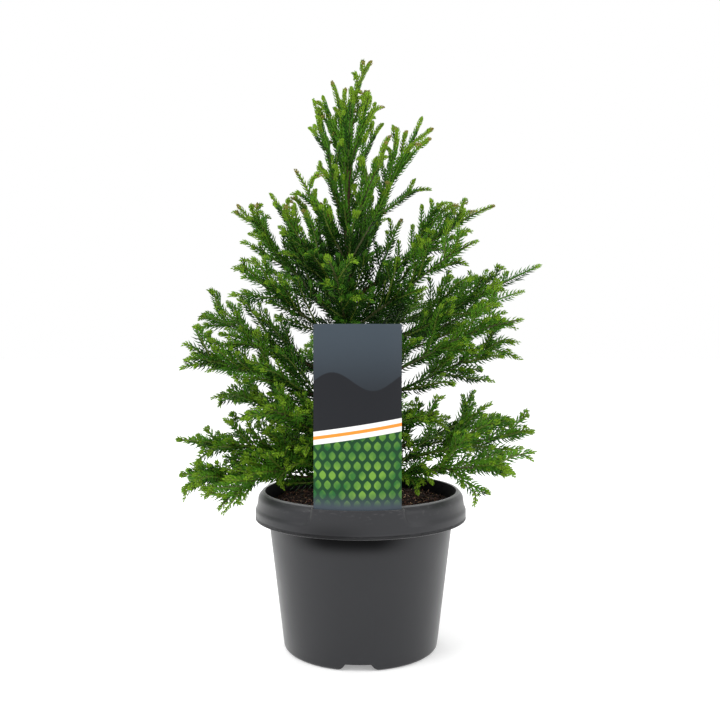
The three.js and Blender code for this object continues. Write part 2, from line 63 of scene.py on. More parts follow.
TURN = math.radians(-1.7)  # pocket, label and foot notches sit a little to the left
POT = Table(
    height=0.130, wall=0.0019, edge=0.0005, draft=0.0015, wall_round=0.003,
    foot_radius=0.0642, ring_width=0.006, hub_radius=0.008, base_raise=0.0048, base_thickness=0.0025,
    neck_radius=0.0772, neck_height=0.105, web=0.003,
    skirt_radius=0.0876, skirt_height=0.107, skirt_width=0.002, skirt_round=0.0018,
    shoulder_height=0.116, shoulder_rise=0.0046, shoulder_round=0.003,
    band_radius=0.0860, band_round=0.002, lip_fall=0.004, lip_radius=0.082, lip_width=0.0022,
    band_step=0.0011,  # between the rings that carry the panel
    smooth=32,  # degrees between faces up to which they shade as one
)
AXIS_RING = 0.001  # radius of the last ring of a turned body, before it closes on its axis
PANEL = Table(half_angle=23.8, radius=0.0879, top=0.1296, fillet=0.009, ease=0.0036, depth=0.004)
NOTCH = Table(
    count=4, top_width=0.020, foot_width=0.028, height=0.0054, round=0.0006, flare=0.0024, flare_top=0.6
)
DRAIN = Table(count=6, radius=0.0045, ring=0.038, depth=0.03)
LABEL = Table(
    radius=0.0862, thickness=0.0008, width=0.0656, foot=0.1149, top=0.267, edge=0.00015, smooth=40
)
SLOT = Table(gap=0.0004, floor=0.1146, past_lip=0.002)
SOIL = Table(
    top=0.118, heap=0.0024, brim=0.0788, edge_drop=0.0015, floor=0.0076, level=0.016, sunk=0.0005,
    lumps=((0.0016, 90, 0), (0.0008, 320, 3)),  # their height, their fineness and a place in the noise
    clear=0.011,  # about the trunk, where no grain lies
    middle=0.006, foot_gap=0.003, foot_round=0.002, wall_gap=0.0004, above_skirt=0.006,
    edge_round=0.0008, under_edge=0.0002, ring_step=0.0016, sides=160,
)
# The grains on it: how far they keep from the wall, the spread of their reach and of their size, how
# they tilt and how high they lie.
GRAIN = Table(from_wall=0.002, reach=(0.6, 1.3), size=(0.5, 1.3), tilt=0.35, lift=0.3)
# Their number, size, seed, flatness and length.
GRAINS = {
    "soil_crumbs": (5200, 0.00125, 1, 0.8, 1.2),
    "soil_bark": (1500, 0.0019, 2, 0.35, 1.5),
    "soil_fibres": (620, 0.00095, 3, 0.6, 2.6),
}

# Where shade, a dark reflection and highlights are painted on the pot's plastic, and where it is rubbed
# pale: distances from the middle of the front or from the edge that is named, and how strongly.
PAINTED_LIGHT_AND_WEAR = Table(
    shade_middle=0.008, shade_ends=0.058, shade_full=0.016, shade_foot=0.019, shade_top=0.003,
    dull_middle=0.022, dull_ends=0.042, dull_full=0.002, dull_top=0.008, dull_foot=0.006, dull=0.42,
    inner_edge=0.0003, inner=0.8, sheltered=0.15, rim=0.12,
    lip_foot=0.0012, lip_top=0.0002, lip=0.55, hem_top=0.0045, hem_foot=0.0008, hem=0.10,
)
# The card's print, in shares of its width and height.
PRINT = Table(
    waves=7.0, wave_height=0.045, hills=0.72, hills_edge=0.004,
    rows=21.0, columns=9.0, leaf_width=0.36, leaf_edge=(-0.03, 0.05), foot_fade=(0.10, 0.19),
    slant=-0.07, field_top=(0.405, 0.409), band_top=(0.470, 0.473),
    stripe=0.44, stripe_edge=(0.010, 0.007),
    field=(0.010, 0.050, 0.018), leaf_dark=(0.016, 0.110, 0.024), leaf_light=(0.140, 0.290, 0.040),
    paper=(0.82, 0.82, 0.80),
)

# The trunk's centre line, as height, x, y.
TRUNK_LINE = np.array([
    [0.118, -0.003, 0.0],
    [0.200, -0.007, 0.001],
    [0.300, -0.011, 0.001],
    [0.370, -0.011, 0.0],
    [0.444, -0.0075, 0.0],
    [0.472, -0.0025, 0.0],
    [0.487, 0.009, 0.0],
])
TRUNK = Table(
    tip=0.452, foot_radius=0.0056, tip_radius=0.0015, taper_power=0.85, flare=0.0042,
    flare_fade=0.00467, rings=240, ring_power=1.25, resolution=14,
    sunk=0.0015, past_tip=0.004, leafy_from=0.134, needled_from=0.29,
)
BOUGH = Table(
    thickness=0.019, tip_share=0.55, least=0.0017, past_bare=0.04, collar=0.5, collar_fade=0.02,
    rings=26, resolution=4,
)
# Bark: how fine its ridges are round the trunk and along it, and its lumps.
BARK = Table(around=2.2, along=55, ridges=1.6, lumps=160, lump_share=0.9, bough_lumps=420)

# How a side shoot leaves its stem, as in the solids.
SHOOT = Table(
    golden_angle=137.5, first_share=0.1, last_share=0.86, spacing_jitter=0.5,
    angle=46, angle_jitter=18, roll_jitter=40, flatten=0.25, rounding=0.6,
    lift=0.5, least_rise=0.12, head_share=0.5, follow=0.3, bend=0.55,
    taper=0.6, size_jitter=0.3, shortest=0.015, free_from=0.25,
    clearance=0.011, limb_clearance=0.0062, spot_step=0.005, trims=(1, 0.75, 0.55), margin=0.006,
)
# First numbers of the chains of chances.
SEEDS = Table(
    limb=1000, side=37, first=11, sway=500, finer=9000, trunk=77, twigs=30000, needles=60000
)

# The cone that the finer shoots at the top keep under: its height, and its fall with the way out.
SPIRE = Table(top=0.484, slope=0.62)
# Where the crown's slender top begins, and where the broad low sprays end, each with its transition.
SLENDER_FROM, SLENDER_SPAN = 0.3, 0.12
LOW_BELOW, LOW_SPAN = 0.25, 0.06

# Outline of the crown: height, and reach from the trunk.
CROWN = np.array([
    [0.100, 0.142],
    [0.190, 0.150],
    [0.320, 0.128],
    [0.375, 0.100],
    [0.400, 0.080],
    [0.440, 0.072],
    [0.490, 0.024],
])

# One row for each limb of the crown: its name, its height on the trunk, the way it points seen from
# above (degrees anticlockwise from +X), how far out and how high its tip is, the share of the height
# that it has gained halfway out, the share of it that is bare bough, its side shoots and their
# length as a share of its own.
LIMB_ROWS = [
    ("leader", 0.452, 0, 0, 0.487, 0.6, 0, 2, 0.62),
    ("spire_left", 0.376, 144, 0.010, 0.476, 0.42, 0, 3, 0.3),
    ("spire_right", 0.402, -22, 0.022, 0.471, 0.4, 0, 3, 0.34),
    ("spires_far_left", 0.345, 192, 0.025, 0.459, 0.34, 0, 9, 0.42),
    ("spires_low_left", 0.320, 214, 0.046, 0.392, 0.4, 0, 5, 0.45),
    ("spires_right", 0.318, 5, 0.066, 0.450, 0.42, 0, 7, 0.4),
    ("spires_low_right", 0.338, -34, 0.041, 0.424, 0.42, 0, 5, 0.42),
    ("left_a", 0.262, 173, 0.094, 0.373, 0.42, 0.3, 7, 0.42),
    ("left_b", 0.284, 203, 0.068, 0.375, 0.42, 0, 6, 0.4),
    ("left_c", 0.246, 204, 0.094, 0.316, 0.45, 0.3, 7, 0.45),
    ("left_d", 0.216, 171, 0.129, 0.284, 0.48, 0.3, 8, 0.4),
    ("left_e", 0.196, 190, 0.135, 0.248, 0.5, 0.3, 8, 0.4),
    ("left_f", 0.152, 179, 0.135, 0.167, 0.9, 0.3, 8, 0.42),
    ("left_g", 0.136, 190, 0.145, 0.141, 2, 0.34, 7, 0.4),
    ("left_h", 0.168, 165, 0.118, 0.212, 0.6, 0.3, 7, 0.42),
    ("left_i", 0.160, 222, 0.096, 0.208, 0.5, 0, 9, 0.48),
    ("left_j", 0.142, 207, 0.124, 0.126, -1.8, 0, 7, 0.36),
    ("left_k", 0.296, 168, 0.044, 0.377, 0.42, 0, 5, 0.4),
    ("right_a", 0.286, 3, 0.117, 0.377, 0.45, 0.3, 8, 0.4),
    ("right_b", 0.262, -25, 0.103, 0.336, 0.45, 0, 7, 0.42),
    ("right_c", 0.236, -3, 0.151, 0.319, 0.45, 0.28, 8, 0.36),
    ("right_d", 0.226, 18, 0.153, 0.305, 0.45, 0.28, 8, 0.38),
    ("right_e", 0.210, -22, 0.133, 0.279, 0.48, 0.3, 7, 0.4),
    ("right_f", 0.194, 5, 0.138, 0.257, 0.5, 0.3, 8, 0.38),
    ("right_g", 0.142, -2, 0.157, 0.180, 0.7, 0.3, 8, 0.4),
    ("right_h", 0.132, -23, 0.135, 0.157, 0.9, 0.36, 7, 0.42),
    ("right_i", 0.152, 19, 0.158, 0.187, 0.7, 0.3, 8, 0.34),
    ("right_j", 0.167, -24, 0.080, 0.200, 0.5, 0, 7, 0.4),
    ("front_a", 0.252, -98, 0.076, 0.318, 0.42, 0, 7, 0.45),
    ("front_b", 0.206, -72, 0.062, 0.238, 0.5, 0, 7, 0.5),
    ("back_a", 0.300, 72, 0.082, 0.385, 0.42, 0, 7, 0.42),
    ("back_b", 0.270, 118, 0.104, 0.346, 0.45, 0.3, 7, 0.42),
    ("back_c", 0.242, 62, 0.122, 0.290, 0.48, 0.3, 8, 0.42),
    ("back_d", 0.206, 105, 0.126, 0.250, 0.5, 0.3, 8, 0.42),
    ("back_e", 0.160, 75, 0.128, 0.190, 0.7, 0.34, 8, 0.42),
    ("back_f", 0.140, 122, 0.126, 0.160, 0.9, 0.38, 7, 0.42),
]
LIMB_FIELDS = ("name", "foot", "turn", "reach", "tip", "lift", "bare", "shoots", "spread")

# Finer growth that the solids leave out: shoots between theirs, and twigs along every shoot.
FINER = Table(
    step=0.0144,  # between shoots along a limb
    steep_step=0.015,
    crowded_step=0.0057,  # low on the left, where the sprays stand thickest
    crowded_left=-0.05,
    crowded_below=0.25,
    first_share=0.13, last_share=0.92, steep_last_share=0.7, spread=0.40, steep_growth=1.5, least=0.026,
    angle=40, steep_angle=25,  # degrees off a level and an upright stem
    lift=0.75, least_rise=0.42, crowded_rise=0.72,
    turn=70,  # degrees from the solids' first side shoot
    cell=0.0054,  # a shoot keeps out of cells of this size that are taken
    free_from=0.35, trims=(1, 0.75, 0.5),
    nod=0.0095,  # how far a shoot's tip hooks aside
    sway=0.04, side_sway=0.03, stem_sway=0.008,
    claim_from=0.1,  # share of a stem from which it takes its cells
    past_stem=0.007,  # how far growth may pass its root where the stem leaves the crown's outline
)
# The short shoots that clothe the trunk: closer together low down, shorter there, more upright above.
ALONG_TRUNK = Table(
    count=64, crowding=1.35, length=0.064, least=0.7, jitter=0.6, low_length=0.75,
    upright=10, upright_from=0.25, upright_span=0.1, rise=0.01,
)
TWIG = Table(
    step=0.0118, high_step=0.021, first_share=0.15, last_share=0.94, high_last_share=0.8,
    shortest=0.010, longest=0.024, share=0.42, cell=0.0051, free_from=0.6, nod=0.003, sway=0.05,
    turn=137,
)
# Shoots that hang over the soil and the rim: the limb, the place on it, and the tip.
HANGING = [
    ("right_h", 0.30, (0.0446, -0.0500, 0.135)),
    ("right_h", 0.38, (0.0560, -0.0490, 0.143)),
    ("right_h", 0.24, (0.0370, -0.0470, 0.143)),
    ("left_j", 0.70, (-0.0923, -0.0430, 0.129)),
    ("left_g", 0.72, (-0.1230, -0.0400, 0.130)),
]
HANGING_BEND, HANGING_ARCH = 0.6, 0.3  # where such a shoot arches, and how high for its length
NOD_POWER = 6  # how suddenly a tip hooks
# By rank: thickness at the foot and the tip of a limb's stem, a side shoot and a twig, and their sides.
STEM_RADII = ((0.0015, 0.0007), (0.001, 0.0006), (0.0007, 0.0005))
STEM_SIDES = (7, 4, 3)
STEM_STEP = 0.004  # from one ring of a stem to the next
ALL_BARK = 1.01  # as the share of a stem that bark covers, its tip too

# How needles stand along a shoot. The club is the blunt end of short needles that closes it.
NEEDLE = Table(
    sunk=0.0025,  # stretch without needles at a side shoot's foot
    high_pitch=0.78, low_pitch=1.3, low_length=1.12,
    turn_jitter=0.35, length_jitter=0.3, angle_jitter=10,
    grown_by=0.020, high_grown_by=0.045,  # way from the tip after which needles are full-grown
    club=0.0045, club_share=0.5, club_start=0.3, low_club=0.45, club_angle=24,
    end_length=0.6, end_by=0.003,
    curl=22, club_curl=62, curl_foot=0.4, curl_tip=-0.6,
    root_share=0.5, foot_share=0.38, tip_share=0.62,
    young_width=0.85, high_width=0.15, low_width=0.12, keel=0.9, back=0.45,
)
NEEDLE_FACES = np.array([[1, 2, 0], [2, 3, 0], [3, 1, 0], [1, 4, 2], [2, 4, 3], [3, 4, 1]])
NEEDLES_PER_PIECE = 33000
KINDS = ("tender", "bronze", "fresh", "leaf", "deep")
TENDER, BRONZE, FRESH, LEAF, DEEP = range(5)
# What a needle's colour goes by: how far out in the crown it is, with darker greens further in, partly
# as older needles and partly as painted shade; its side of the shoot, with painted shade on the
# underside;
# the way to the shoot's tip and the spray's age.
HUE = Table(
    high=0.9, low=0.15, wander=0.15, fresh_from=0.5, leaf_from=0.36, fresh_age=0.3,
    turn_wander=0.6, underside=-0.3,
    tip=0.009, twig_tip=0.0045, tip_least=0.6, tip_age=0.8, tip_high=1.2, tender_from=0.45,
    tanned=0.0045, tanned_height=0.35, tanned_from=0.5, tanned_age=0.36,
)

# The camera stands in front of the plant, a little above its middle. Its centre is where its axis
# meets the frame, from the top left.
CAMERA = Table(
    place=(0.0, -0.700, 0.255), pitch=1.43,
    focal=834.7, frame=(720, 722), centre=(360.7, 361.0), sensor=36,
)
LIGHTS = {  # place, size and power
    "key": ((-1.1, -0.9, 1.5), 0.9, 16),
    "fill": ((1.3, -1.0, 0.9), 1.2, 8),
    "back": ((-0.5, 1.3, 1.2), 1.0, 8),
}
LIT_POINT = Vector((0, 0, 0.25))

CROWN_PARTS = ("top", "left", "right", "front", "back")


# ---- settings


def length_property(name, default, description):
    """A length that the panel shows in the scene's unit."""
    return FloatProperty(name=name, default=default, description=description, unit="LENGTH", precision=5)


def colour_property(name, default, description):
    """A colour, in linear light."""
    return FloatVectorProperty(
        name=name, default=default, description=description, subtype="COLOR", size=3, min=0, max=1
    )


class CryptomeriaPot(bpy.types.PropertyGroup):
    """Pot, soil and label."""

    sides: IntProperty(name="Sides", default=480, description="Columns of faces round the pot")
    plastic: colour_property("Plastic", (0.0165, 0.017, 0.0195), "Slate grey of the moulded pot")
    # Its pale colour also paints the highlights along the lip and the skirt's hem.
    scuff_and_highlight: colour_property("Scuffs", (0.24, 0.24, 0.245), "Pale rubbed places on the rim")
    peat: colour_property("Peat", (0.010, 0.0052, 0.0032), "Dark damp potting soil")
    chips: colour_property("Chips", (0.135, 0.045, 0.021), "Composted bark in the soil")
    flecks: colour_property("Flecks", (0.70, 0.42, 0.24), "Light wood fibres in the soil")
    slate: colour_property("Label slate", (0.046, 0.060, 0.075), "Ground colour of the label")
    slate_deep: colour_property("Label dark", (0.014, 0.015, 0.018), "Dark shapes on the label")
    orange: colour_property("Label stripe", (0.87, 0.26, 0.035), "Thin stripe on the label")


class CryptomeriaWood(bpy.types.PropertyGroup):
    """Trunk, boughs and twigs."""

    ridge_depth: length_property("Ridge depth", 0.00035, "How deep the bark's long ridges are")
    bark_dark: colour_property("Bark furrows", (0.026, 0.014, 0.008), "Deep parts of the bark")
    bark_light: colour_property("Bark ridges", (0.105, 0.064, 0.030), "Raised fibres of the bark")
    twig_old: colour_property("Old twigs", (0.064, 0.080, 0.013), "Skin of the older shoots")
    twig_green: colour_property("Green twigs", (0.120, 0.190, 0.016), "Skin of this year's shoots")


class CryptomeriaNeedles(bpy.types.PropertyGroup):
    """Needles and their colours."""

    length: length_property("Length", 0.0074, "Length of a full-grown needle")
    high_length: length_property("High length", 0.0056, "Length of a needle in the crown's top")
    young_length: length_property("Young length", 0.0040, "Length of the needles near a shoot's tip")
    tip_length: length_property("Tip length", 0.0028, "Length of the needles that close a shoot's tip")
    width: length_property("Width", 0.0015, "Width of a needle where it is widest")
    pitch: length_property("Pitch", 0.00068, "Distance between needles along a shoot")
    tip_pitch: length_property("Tip pitch", 0.00046, "Distance between needles at a shoot's tip")
    divergence: FloatProperty(
        name="Divergence", default=144.5, description="Degrees from needle to needle"
    )
    opening: FloatProperty(name="Opening", default=52, description="Degrees off the shoot")
    high_opening: FloatProperty(
        name="High opening", default=37, description="Degrees in the crown's top"
    )
    young_opening: FloatProperty(name="Young opening", default=33, description="Degrees near a tip")
    tender: colour_property("Tips", (0.166, 0.306, 0.018), "Yellow green of the growing tips")
    bronze: colour_property("Bronze", (0.238, 0.222, 0.050), "Tips that the cold has tanned")
    fresh: colour_property("Fresh", (0.099, 0.263, 0.018), "Green of the outer needles")
    # The leaf and deep greens also serve as painted shade, on inner needles and on the shoots'
    # undersides.
    leaf: colour_property("Leaf", (0.056, 0.175, 0.014), "Green of the older sprays")
    deep: colour_property("Deep", (0.015, 0.058, 0.006), "Green of the inner needles")


# ---- lines and chances


def seeded(seed):
    """Repeatable random numbers from 0 to 1, the same as in the solids' rule."""
    modulus = 4294967296
    state = seed
    while True:
        state = (state * 1664525 + 1013904223) % modulus
        yield state / modulus


def jitter(chance):
    return next(chance) - 0.5


def mix(low, high, share):
    return low * (1 - share) + high * share


def ease(value):
    """0 to 1, level at both ends."""
    share = np.clip(value, 0, 1)
    return share * share * (3 - 2 * share)


def unit(vector):
    return vector / np.linalg.norm(vector)


def square_to(axis):
    """Two directions square to an axis."""
    hint = np.array([1.0, 0, 0]) if abs(axis[2]) > 0.9 else np.array([0, 0, 1.0])
    across = unit(np.cross(hint, axis))
    return across, unit(np.cross(axis, across))


def trunk_centre(height):
    """Centre of the trunk at one height or several."""
    columns = [np.interp(height, TRUNK_LINE[:, 0], TRUNK_LINE[:, side]) for side in (1, 2)]
    return np.stack([*columns, np.asarray(height, dtype=float)], axis=-1)


def trunk_radius(height):
    """Radius of the trunk: an even taper with a flare at the soil."""
    share = np.clip((height - SOIL.top) / (TRUNK.tip - SOIL.top), 0, 1)
    flare = TRUNK.flare * np.exp((SOIL.top - height) / TRUNK.flare_fade)
    return mix(TRUNK.foot_radius, TRUNK.tip_radius, share ** TRUNK.taper_power) + flare


class Line:
    """A curve from a root by way of a middle point to a tip, with a slow sway and a hooked tip."""

    def __init__(self, root, middle, tip, bow=(0, 0, 0), nod=(0, 0, 0)):
        self.points = np.array([root, middle, tip], dtype=float)
        self.bow = np.array(bow, dtype=float)
        self.nod = np.array(nod, dtype=float)

    def at(self, place):
        """One point of the curve, or a row of them."""
        t = np.asarray(place, dtype=float)[..., None]
        root, middle, tip = self.points
        smooth = (1 - t) ** 2 * root + 2 * (1 - t) * t * middle + t**2 * tip
        return smooth + self.bow * np.sin(2 * math.pi * t) * t + self.nod * t**NOD_POWER

    def heading(self, place):
        delta = 0.0001
        low = np.maximum(place - delta, 0)
        high = np.minimum(place + delta, 1)
        run = self.at(high) - self.at(low)
        return run / np.linalg.norm(run, axis=-1, keepdims=True)

    def length(self, start=0.0, end=1.0, steps=12):
        points = self.at(np.linspace(start, end, steps + 1))
        return float(np.linalg.norm(np.diff(points, axis=0), axis=1).sum())

    def spots(self, start, end, step):
        """Evenly spread points of the curve, about a step apart."""
        count = max(2, math.ceil(self.length(start, end) / step))
        return self.at(np.linspace(start, end, count + 1))

    def trimmed(self, share):
        """The same line, shrunk towards its root."""
        root, middle, tip = self.points
        return Line(root, root + (middle - root) * share, root + (tip - root) * share)

    def swayed(self, chance, share, nod):
        """The same line with a sway in proportion to its length, and a tip that hooks aside."""
        draws = np.array([jitter(chance) for _ in range(6)]).reshape(2, 3)
        draws[1, 2] = -abs(draws[1, 2])
        return Line(*self.points, bow=draws[0] * share * self.length(), nod=2 * draws[1] * nod)


class TrunkStretch(Line):
    """A stretch of the trunk's own line, between two heights."""

    def __init__(self, low, high):
        super().__init__(*trunk_centre(np.array([low, mix(low, high, 0.5), high])))
        self.low, self.high = low, high

    def height(self, place):
        return mix(self.low, self.high, np.asarray(place, dtype=float))

    def at(self, place):
        return trunk_centre(self.height(place))

    def bark_radius(self, place):
        return trunk_radius(self.height(place))


# ---- growth


class Limb:
    """One main shoot of the crown, with its bough and the side shoots of its mass."""

    def __init__(self, row, values):
        self.row = row
        for field, value in zip(LIMB_FIELDS, values):
            setattr(self, field, value)
        self.part = "top" if self.name.startswith(("leader", "spire")) else self.name.split("_")[0]
        self.on_tip = self.foot >= TRUNK.tip
        self.line = self.route()
        self.size = self.line.length()
        self.sides = []

    def route(self):
        foot = trunk_centre(self.foot)
        turn = math.radians(self.turn)
        tip = foot + self.reach * np.array([math.cos(turn), math.sin(turn), 0])
        tip[2] = self.tip
        middle = mix(foot, tip, 0.5)
        middle[2] = mix(self.foot, self.tip, self.lift)
        if self.on_tip:
            tip = trunk_centre(self.tip)
            middle = trunk_centre(TRUNK_LINE[-2, 0])
        return Line(foot, middle, tip)

    @property
    def bough_radius(self):
        return max(BOUGH.least, BOUGH.thickness * self.size)

    def bark_radius(self, places):
        """The bough's radius by the place on the limb's line."""
        return self.bough_radius * mix(1, BOUGH.tip_share, np.asarray(places) / self.bare)


def shoot_at(line, place, roll, angle, length, lift=SHOOT.lift, least_rise=SHOOT.least_rise):
    """A shoot that leaves a stem at a place of its line, and turns upwards as it grows."""
    root = line.at(place)
    axis = line.heading(place)
    across, above = square_to(axis)
    flatten = SHOOT.flatten + SHOOT.rounding * max(0, axis[2])
    aside = unit(across * math.cos(roll) + above * flatten * math.sin(roll))
    upwards = np.array([0, 0, lift * max(least_rise, axis[2])])
    heading = axis * math.cos(angle) + aside * math.sin(angle) + SHOOT.head_share * upwards
    heading = unit(heading)
    middle = root + heading * SHOOT.bend * length
    ending = unit(heading + upwards + axis * SHOOT.follow)
    return Line(root, middle, middle + ending * (1 - SHOOT.bend) * length)


def source_shoot(limb, index, trim):
    """Side shoot number `index` of a limb, as in the solids."""
    chance = seeded(SEEDS.limb * limb.row + SEEDS.side * index + SEEDS.first)
    share = (index + 0.5 + SHOOT.spacing_jitter * jitter(chance)) / limb.shoots
    along = mix(SHOOT.first_share, SHOOT.last_share, share)
    place = mix(limb.bare, 1, along)
    roll = math.radians(limb.turn + index * SHOOT.golden_angle + SHOOT.roll_jitter * jitter(chance))
    angle = math.radians(SHOOT.angle + SHOOT.angle_jitter * jitter(chance))
    size = limb.size * limb.spread * (1 - SHOOT.taper * along)
    size = size * (1 + SHOOT.size_jitter * jitter(chance))
    return shoot_at(limb.line, place, roll, angle, max(SHOOT.shortest, size) * trim)


def crown_reach(height):
    """How far the crown reaches from the trunk at a height."""
    heights, reaches = CROWN.T
    row = np.clip(np.searchsorted(heights, height), 1, len(heights) - 1)
    share = (height - heights[row - 1]) / (heights[row] - heights[row - 1])
    return mix(reaches[row - 1], reaches[row], share)


def from_trunk(points):
    """How far points are from the trunk's centre line, level with them."""
    centre = trunk_centre(np.clip(points[:, 2], SOIL.top, TRUNK.tip))
    return np.hypot(points[:, 0] - centre[:, 0], points[:, 1] - centre[:, 1])


def stays_in_crown(points, beyond=0.0):
    """True if no point leaves the crown or meets the pot, the soil, the label or the floor."""
    x, y, z = points.T
    margin = SHOOT.margin
    if np.any(from_trunk(points) > np.maximum(crown_reach(z), beyond)):
        return False
    radius = np.hypot(x, y)
    inside = POT.lip_radius - POT.lip_width - margin
    over_soil = (radius < inside) & (z > SOIL.top + margin)
    near_pot = (radius < POT.skirt_radius + margin) & (z < POT.height + margin)
    label_back = LABEL.radius * math.cos(math.radians(PANEL.half_angle)) - margin
    beside = np.abs(x) < LABEL.width / 2 + 2 * margin
    near_label = (y < -label_back) & beside & (z < LABEL.top + margin)
    return not np.any((near_pot & ~over_soil) | near_label | (z < margin))


class Taken:
    """Points that are already taken, the mass that took each, and the room that each needs."""

    def __init__(self):
        self.points = np.zeros((0, 3))
        self.rooms = np.zeros(0)
        self.masses = np.zeros(0, dtype=int)

    def add(self, points, rooms, mass):
        self.points = np.vstack([self.points, points])
        self.rooms = np.append(self.rooms, np.broadcast_to(rooms, len(points)))
        self.masses = np.append(self.masses, np.full(len(points), mass))

    def leaves_room(self, points, mass):
        others = self.masses != mass
        apart = np.linalg.norm(points[:, None] - self.points[None, others], axis=2)
        return bool(np.all(apart > self.rooms[others]))


def grow_sides(limbs):
    """Gives each limb the side shoots that its solid has."""
    trunk, boughs = -1, -2
    taken = Taken()
    heights = np.arange(SOIL.top, TRUNK.tip, SHOOT.spot_step)
    taken.add(trunk_centre(heights), trunk_radius(heights) + SHOOT.limb_clearance, trunk)
    for limb in limbs:
        step = SHOOT.spot_step
        room = limb.bough_radius + SHOOT.limb_clearance
        taken.add(limb.line.spots(0, limb.bare, step), room, boughs)
        taken.add(limb.line.spots(limb.bare, 1, step), SHOOT.clearance, limb.row)
    for index in range(max(limb.shoots for limb in limbs)):
        for limb in limbs:
            if index >= limb.shoots:
                continue
            for trim in SHOOT.trims:
                shoot = source_shoot(limb, index, trim)
                points = shoot.spots(SHOOT.free_from, 1, SHOOT.spot_step)
                if stays_in_crown(points) and taken.leaves_room(points, limb.row):
                    limb.sides.append(shoot)
                    taken.add(points, SHOOT.clearance, limb.row)
                    break


class Shoot:
    """A stem or twig of the dressed crown: its line, its part of the crown and its thickness."""

    def __init__(self, line, part, rank, start=0.0, bark_radius=None):
        self.line = line
        self.part = part
        self.rank = rank  # 0 a limb's own stem, 1 a side shoot, 2 a twig
        self.start = start  # bark covers it up to this share of its line
        self.bark_radius = bark_radius  # its radius by the place on the line
        self.size = line.length()

    def radius_at(self, places):
        """Radius of what the needles stand on."""
        green = mix(*STEM_RADII[self.rank], places)
        return np.where(places < self.start, self.bark_radius(places), green) if self.start else green


class Cells:
    """Small cells of space, so that a new twig can keep out of those that are taken."""

    def __init__(self, size):
        self.size = size
        self.filled = set()

    def of(self, points):
        return {tuple(cell) for cell in np.floor(points / self.size).astype(int)}

    def claim(self, points, free_points):
        """Takes the cells of a twig if those of its free part are free."""
        if self.of(free_points) & self.filled:
            return False
        self.filled |= self.of(points)
        return True


def steepness(line):
    """0 for a level stem, 1 for an upright one."""
    return max(0, line.heading(0.5)[2]) ** 2


def finer_shoots(line, start, end, step, turn, longest, chance, rise=FINER.least_rise):
    """Lines of shoots along a stem: a step apart, shorter near its tip, closer to a steep stem."""
    steep = steepness(line)
    end = min(end, mix(1, FINER.steep_last_share, steep))
    longest = longest * mix(1, FINER.steep_growth, steep)
    count = max(1, round(line.length(start, end) / step))
    for index in range(count):
        share = (index + 0.5 + SHOOT.spacing_jitter * jitter(chance)) / count
        place = mix(start, end, share)
        roll = math.radians(turn + index * SHOOT.golden_angle) + jitter(chance)
        angle = mix(FINER.angle, FINER.steep_angle, steep) + SHOOT.angle_jitter * jitter(chance)
        length = longest * (1 - SHOOT.taper * share) * (1 + SHOOT.size_jitter * jitter(chance))
        yield shoot_at(line, place, roll, math.radians(angle), length, FINER.lift, rise)


def step_and_rise(limb):
    """Distance between the shoots of one limb, and how much they turn up."""
    tip = limb.line.at(1.0)
    if tip[0] < FINER.crowded_left and tip[2] < FINER.crowded_below:
        return FINER.crowded_step, FINER.crowded_rise
    return mix(FINER.step, FINER.steep_step, steepness(limb.line)), FINER.least_rise


def height_share(heights):
    """0 in the body of the crown, 1 in its slender top."""
    return ease((heights - SLENDER_FROM) / SLENDER_SPAN)


def low_share(heights):
    """1 in the broad sprays low on the plant, 0 above them."""
    return ease((LOW_BELOW - heights) / LOW_SPAN)


def under_spire(points):
    """True where no point rises past the cone that the leader's tip crowns."""
    return bool(np.all(points[:, 2] + SPIRE.slope * from_trunk(points) < SPIRE.top))


def own_reach(line):
    """How far out the growth on a stem that already leaves the crown's outline may go."""
    return float(from_trunk(line.at(0.0)[None])[0]) + FINER.past_stem


def grow_finer(line, part, cells, chance, shoots):
    """Adds a shoot at its full length, or cut shorter where the space is taken."""
    beyond = own_reach(line)
    for trim in FINER.trims:
        short = line.trimmed(trim)
        points = short.spots(FINER.free_from, 1, cells.size)
        if stays_in_crown(points, beyond) and under_spire(points) and cells.claim(points, points):
            shoots.append(Shoot(short.swayed(chance, FINER.sway, FINER.nod), part, 1))
            return


def grow_twigs(shoot, turn, cells, chance, shoots):
    """Adds small twigs along a shoot."""
    start = mix(shoot.start, 1, TWIG.first_share)
    longest = np.clip(TWIG.share * shoot.size, TWIG.shortest, TWIG.longest)
    high = height_share(shoot.line.at(0.5)[2])
    step = mix(TWIG.step, TWIG.high_step, high)
    end = mix(TWIG.last_share, TWIG.high_last_share, high)
    for line in finer_shoots(shoot.line, start, end, step, turn, longest, chance):
        points = line.spots(TWIG.free_from, 1, cells.size)
        inside = stays_in_crown(points, own_reach(line)) and under_spire(points)
        fits = inside and line.length() > TWIG.shortest / 2
        if fits and cells.claim(points, points):
            shoots.append(Shoot(line.swayed(chance, TWIG.sway, TWIG.nod), shoot.part, 2))


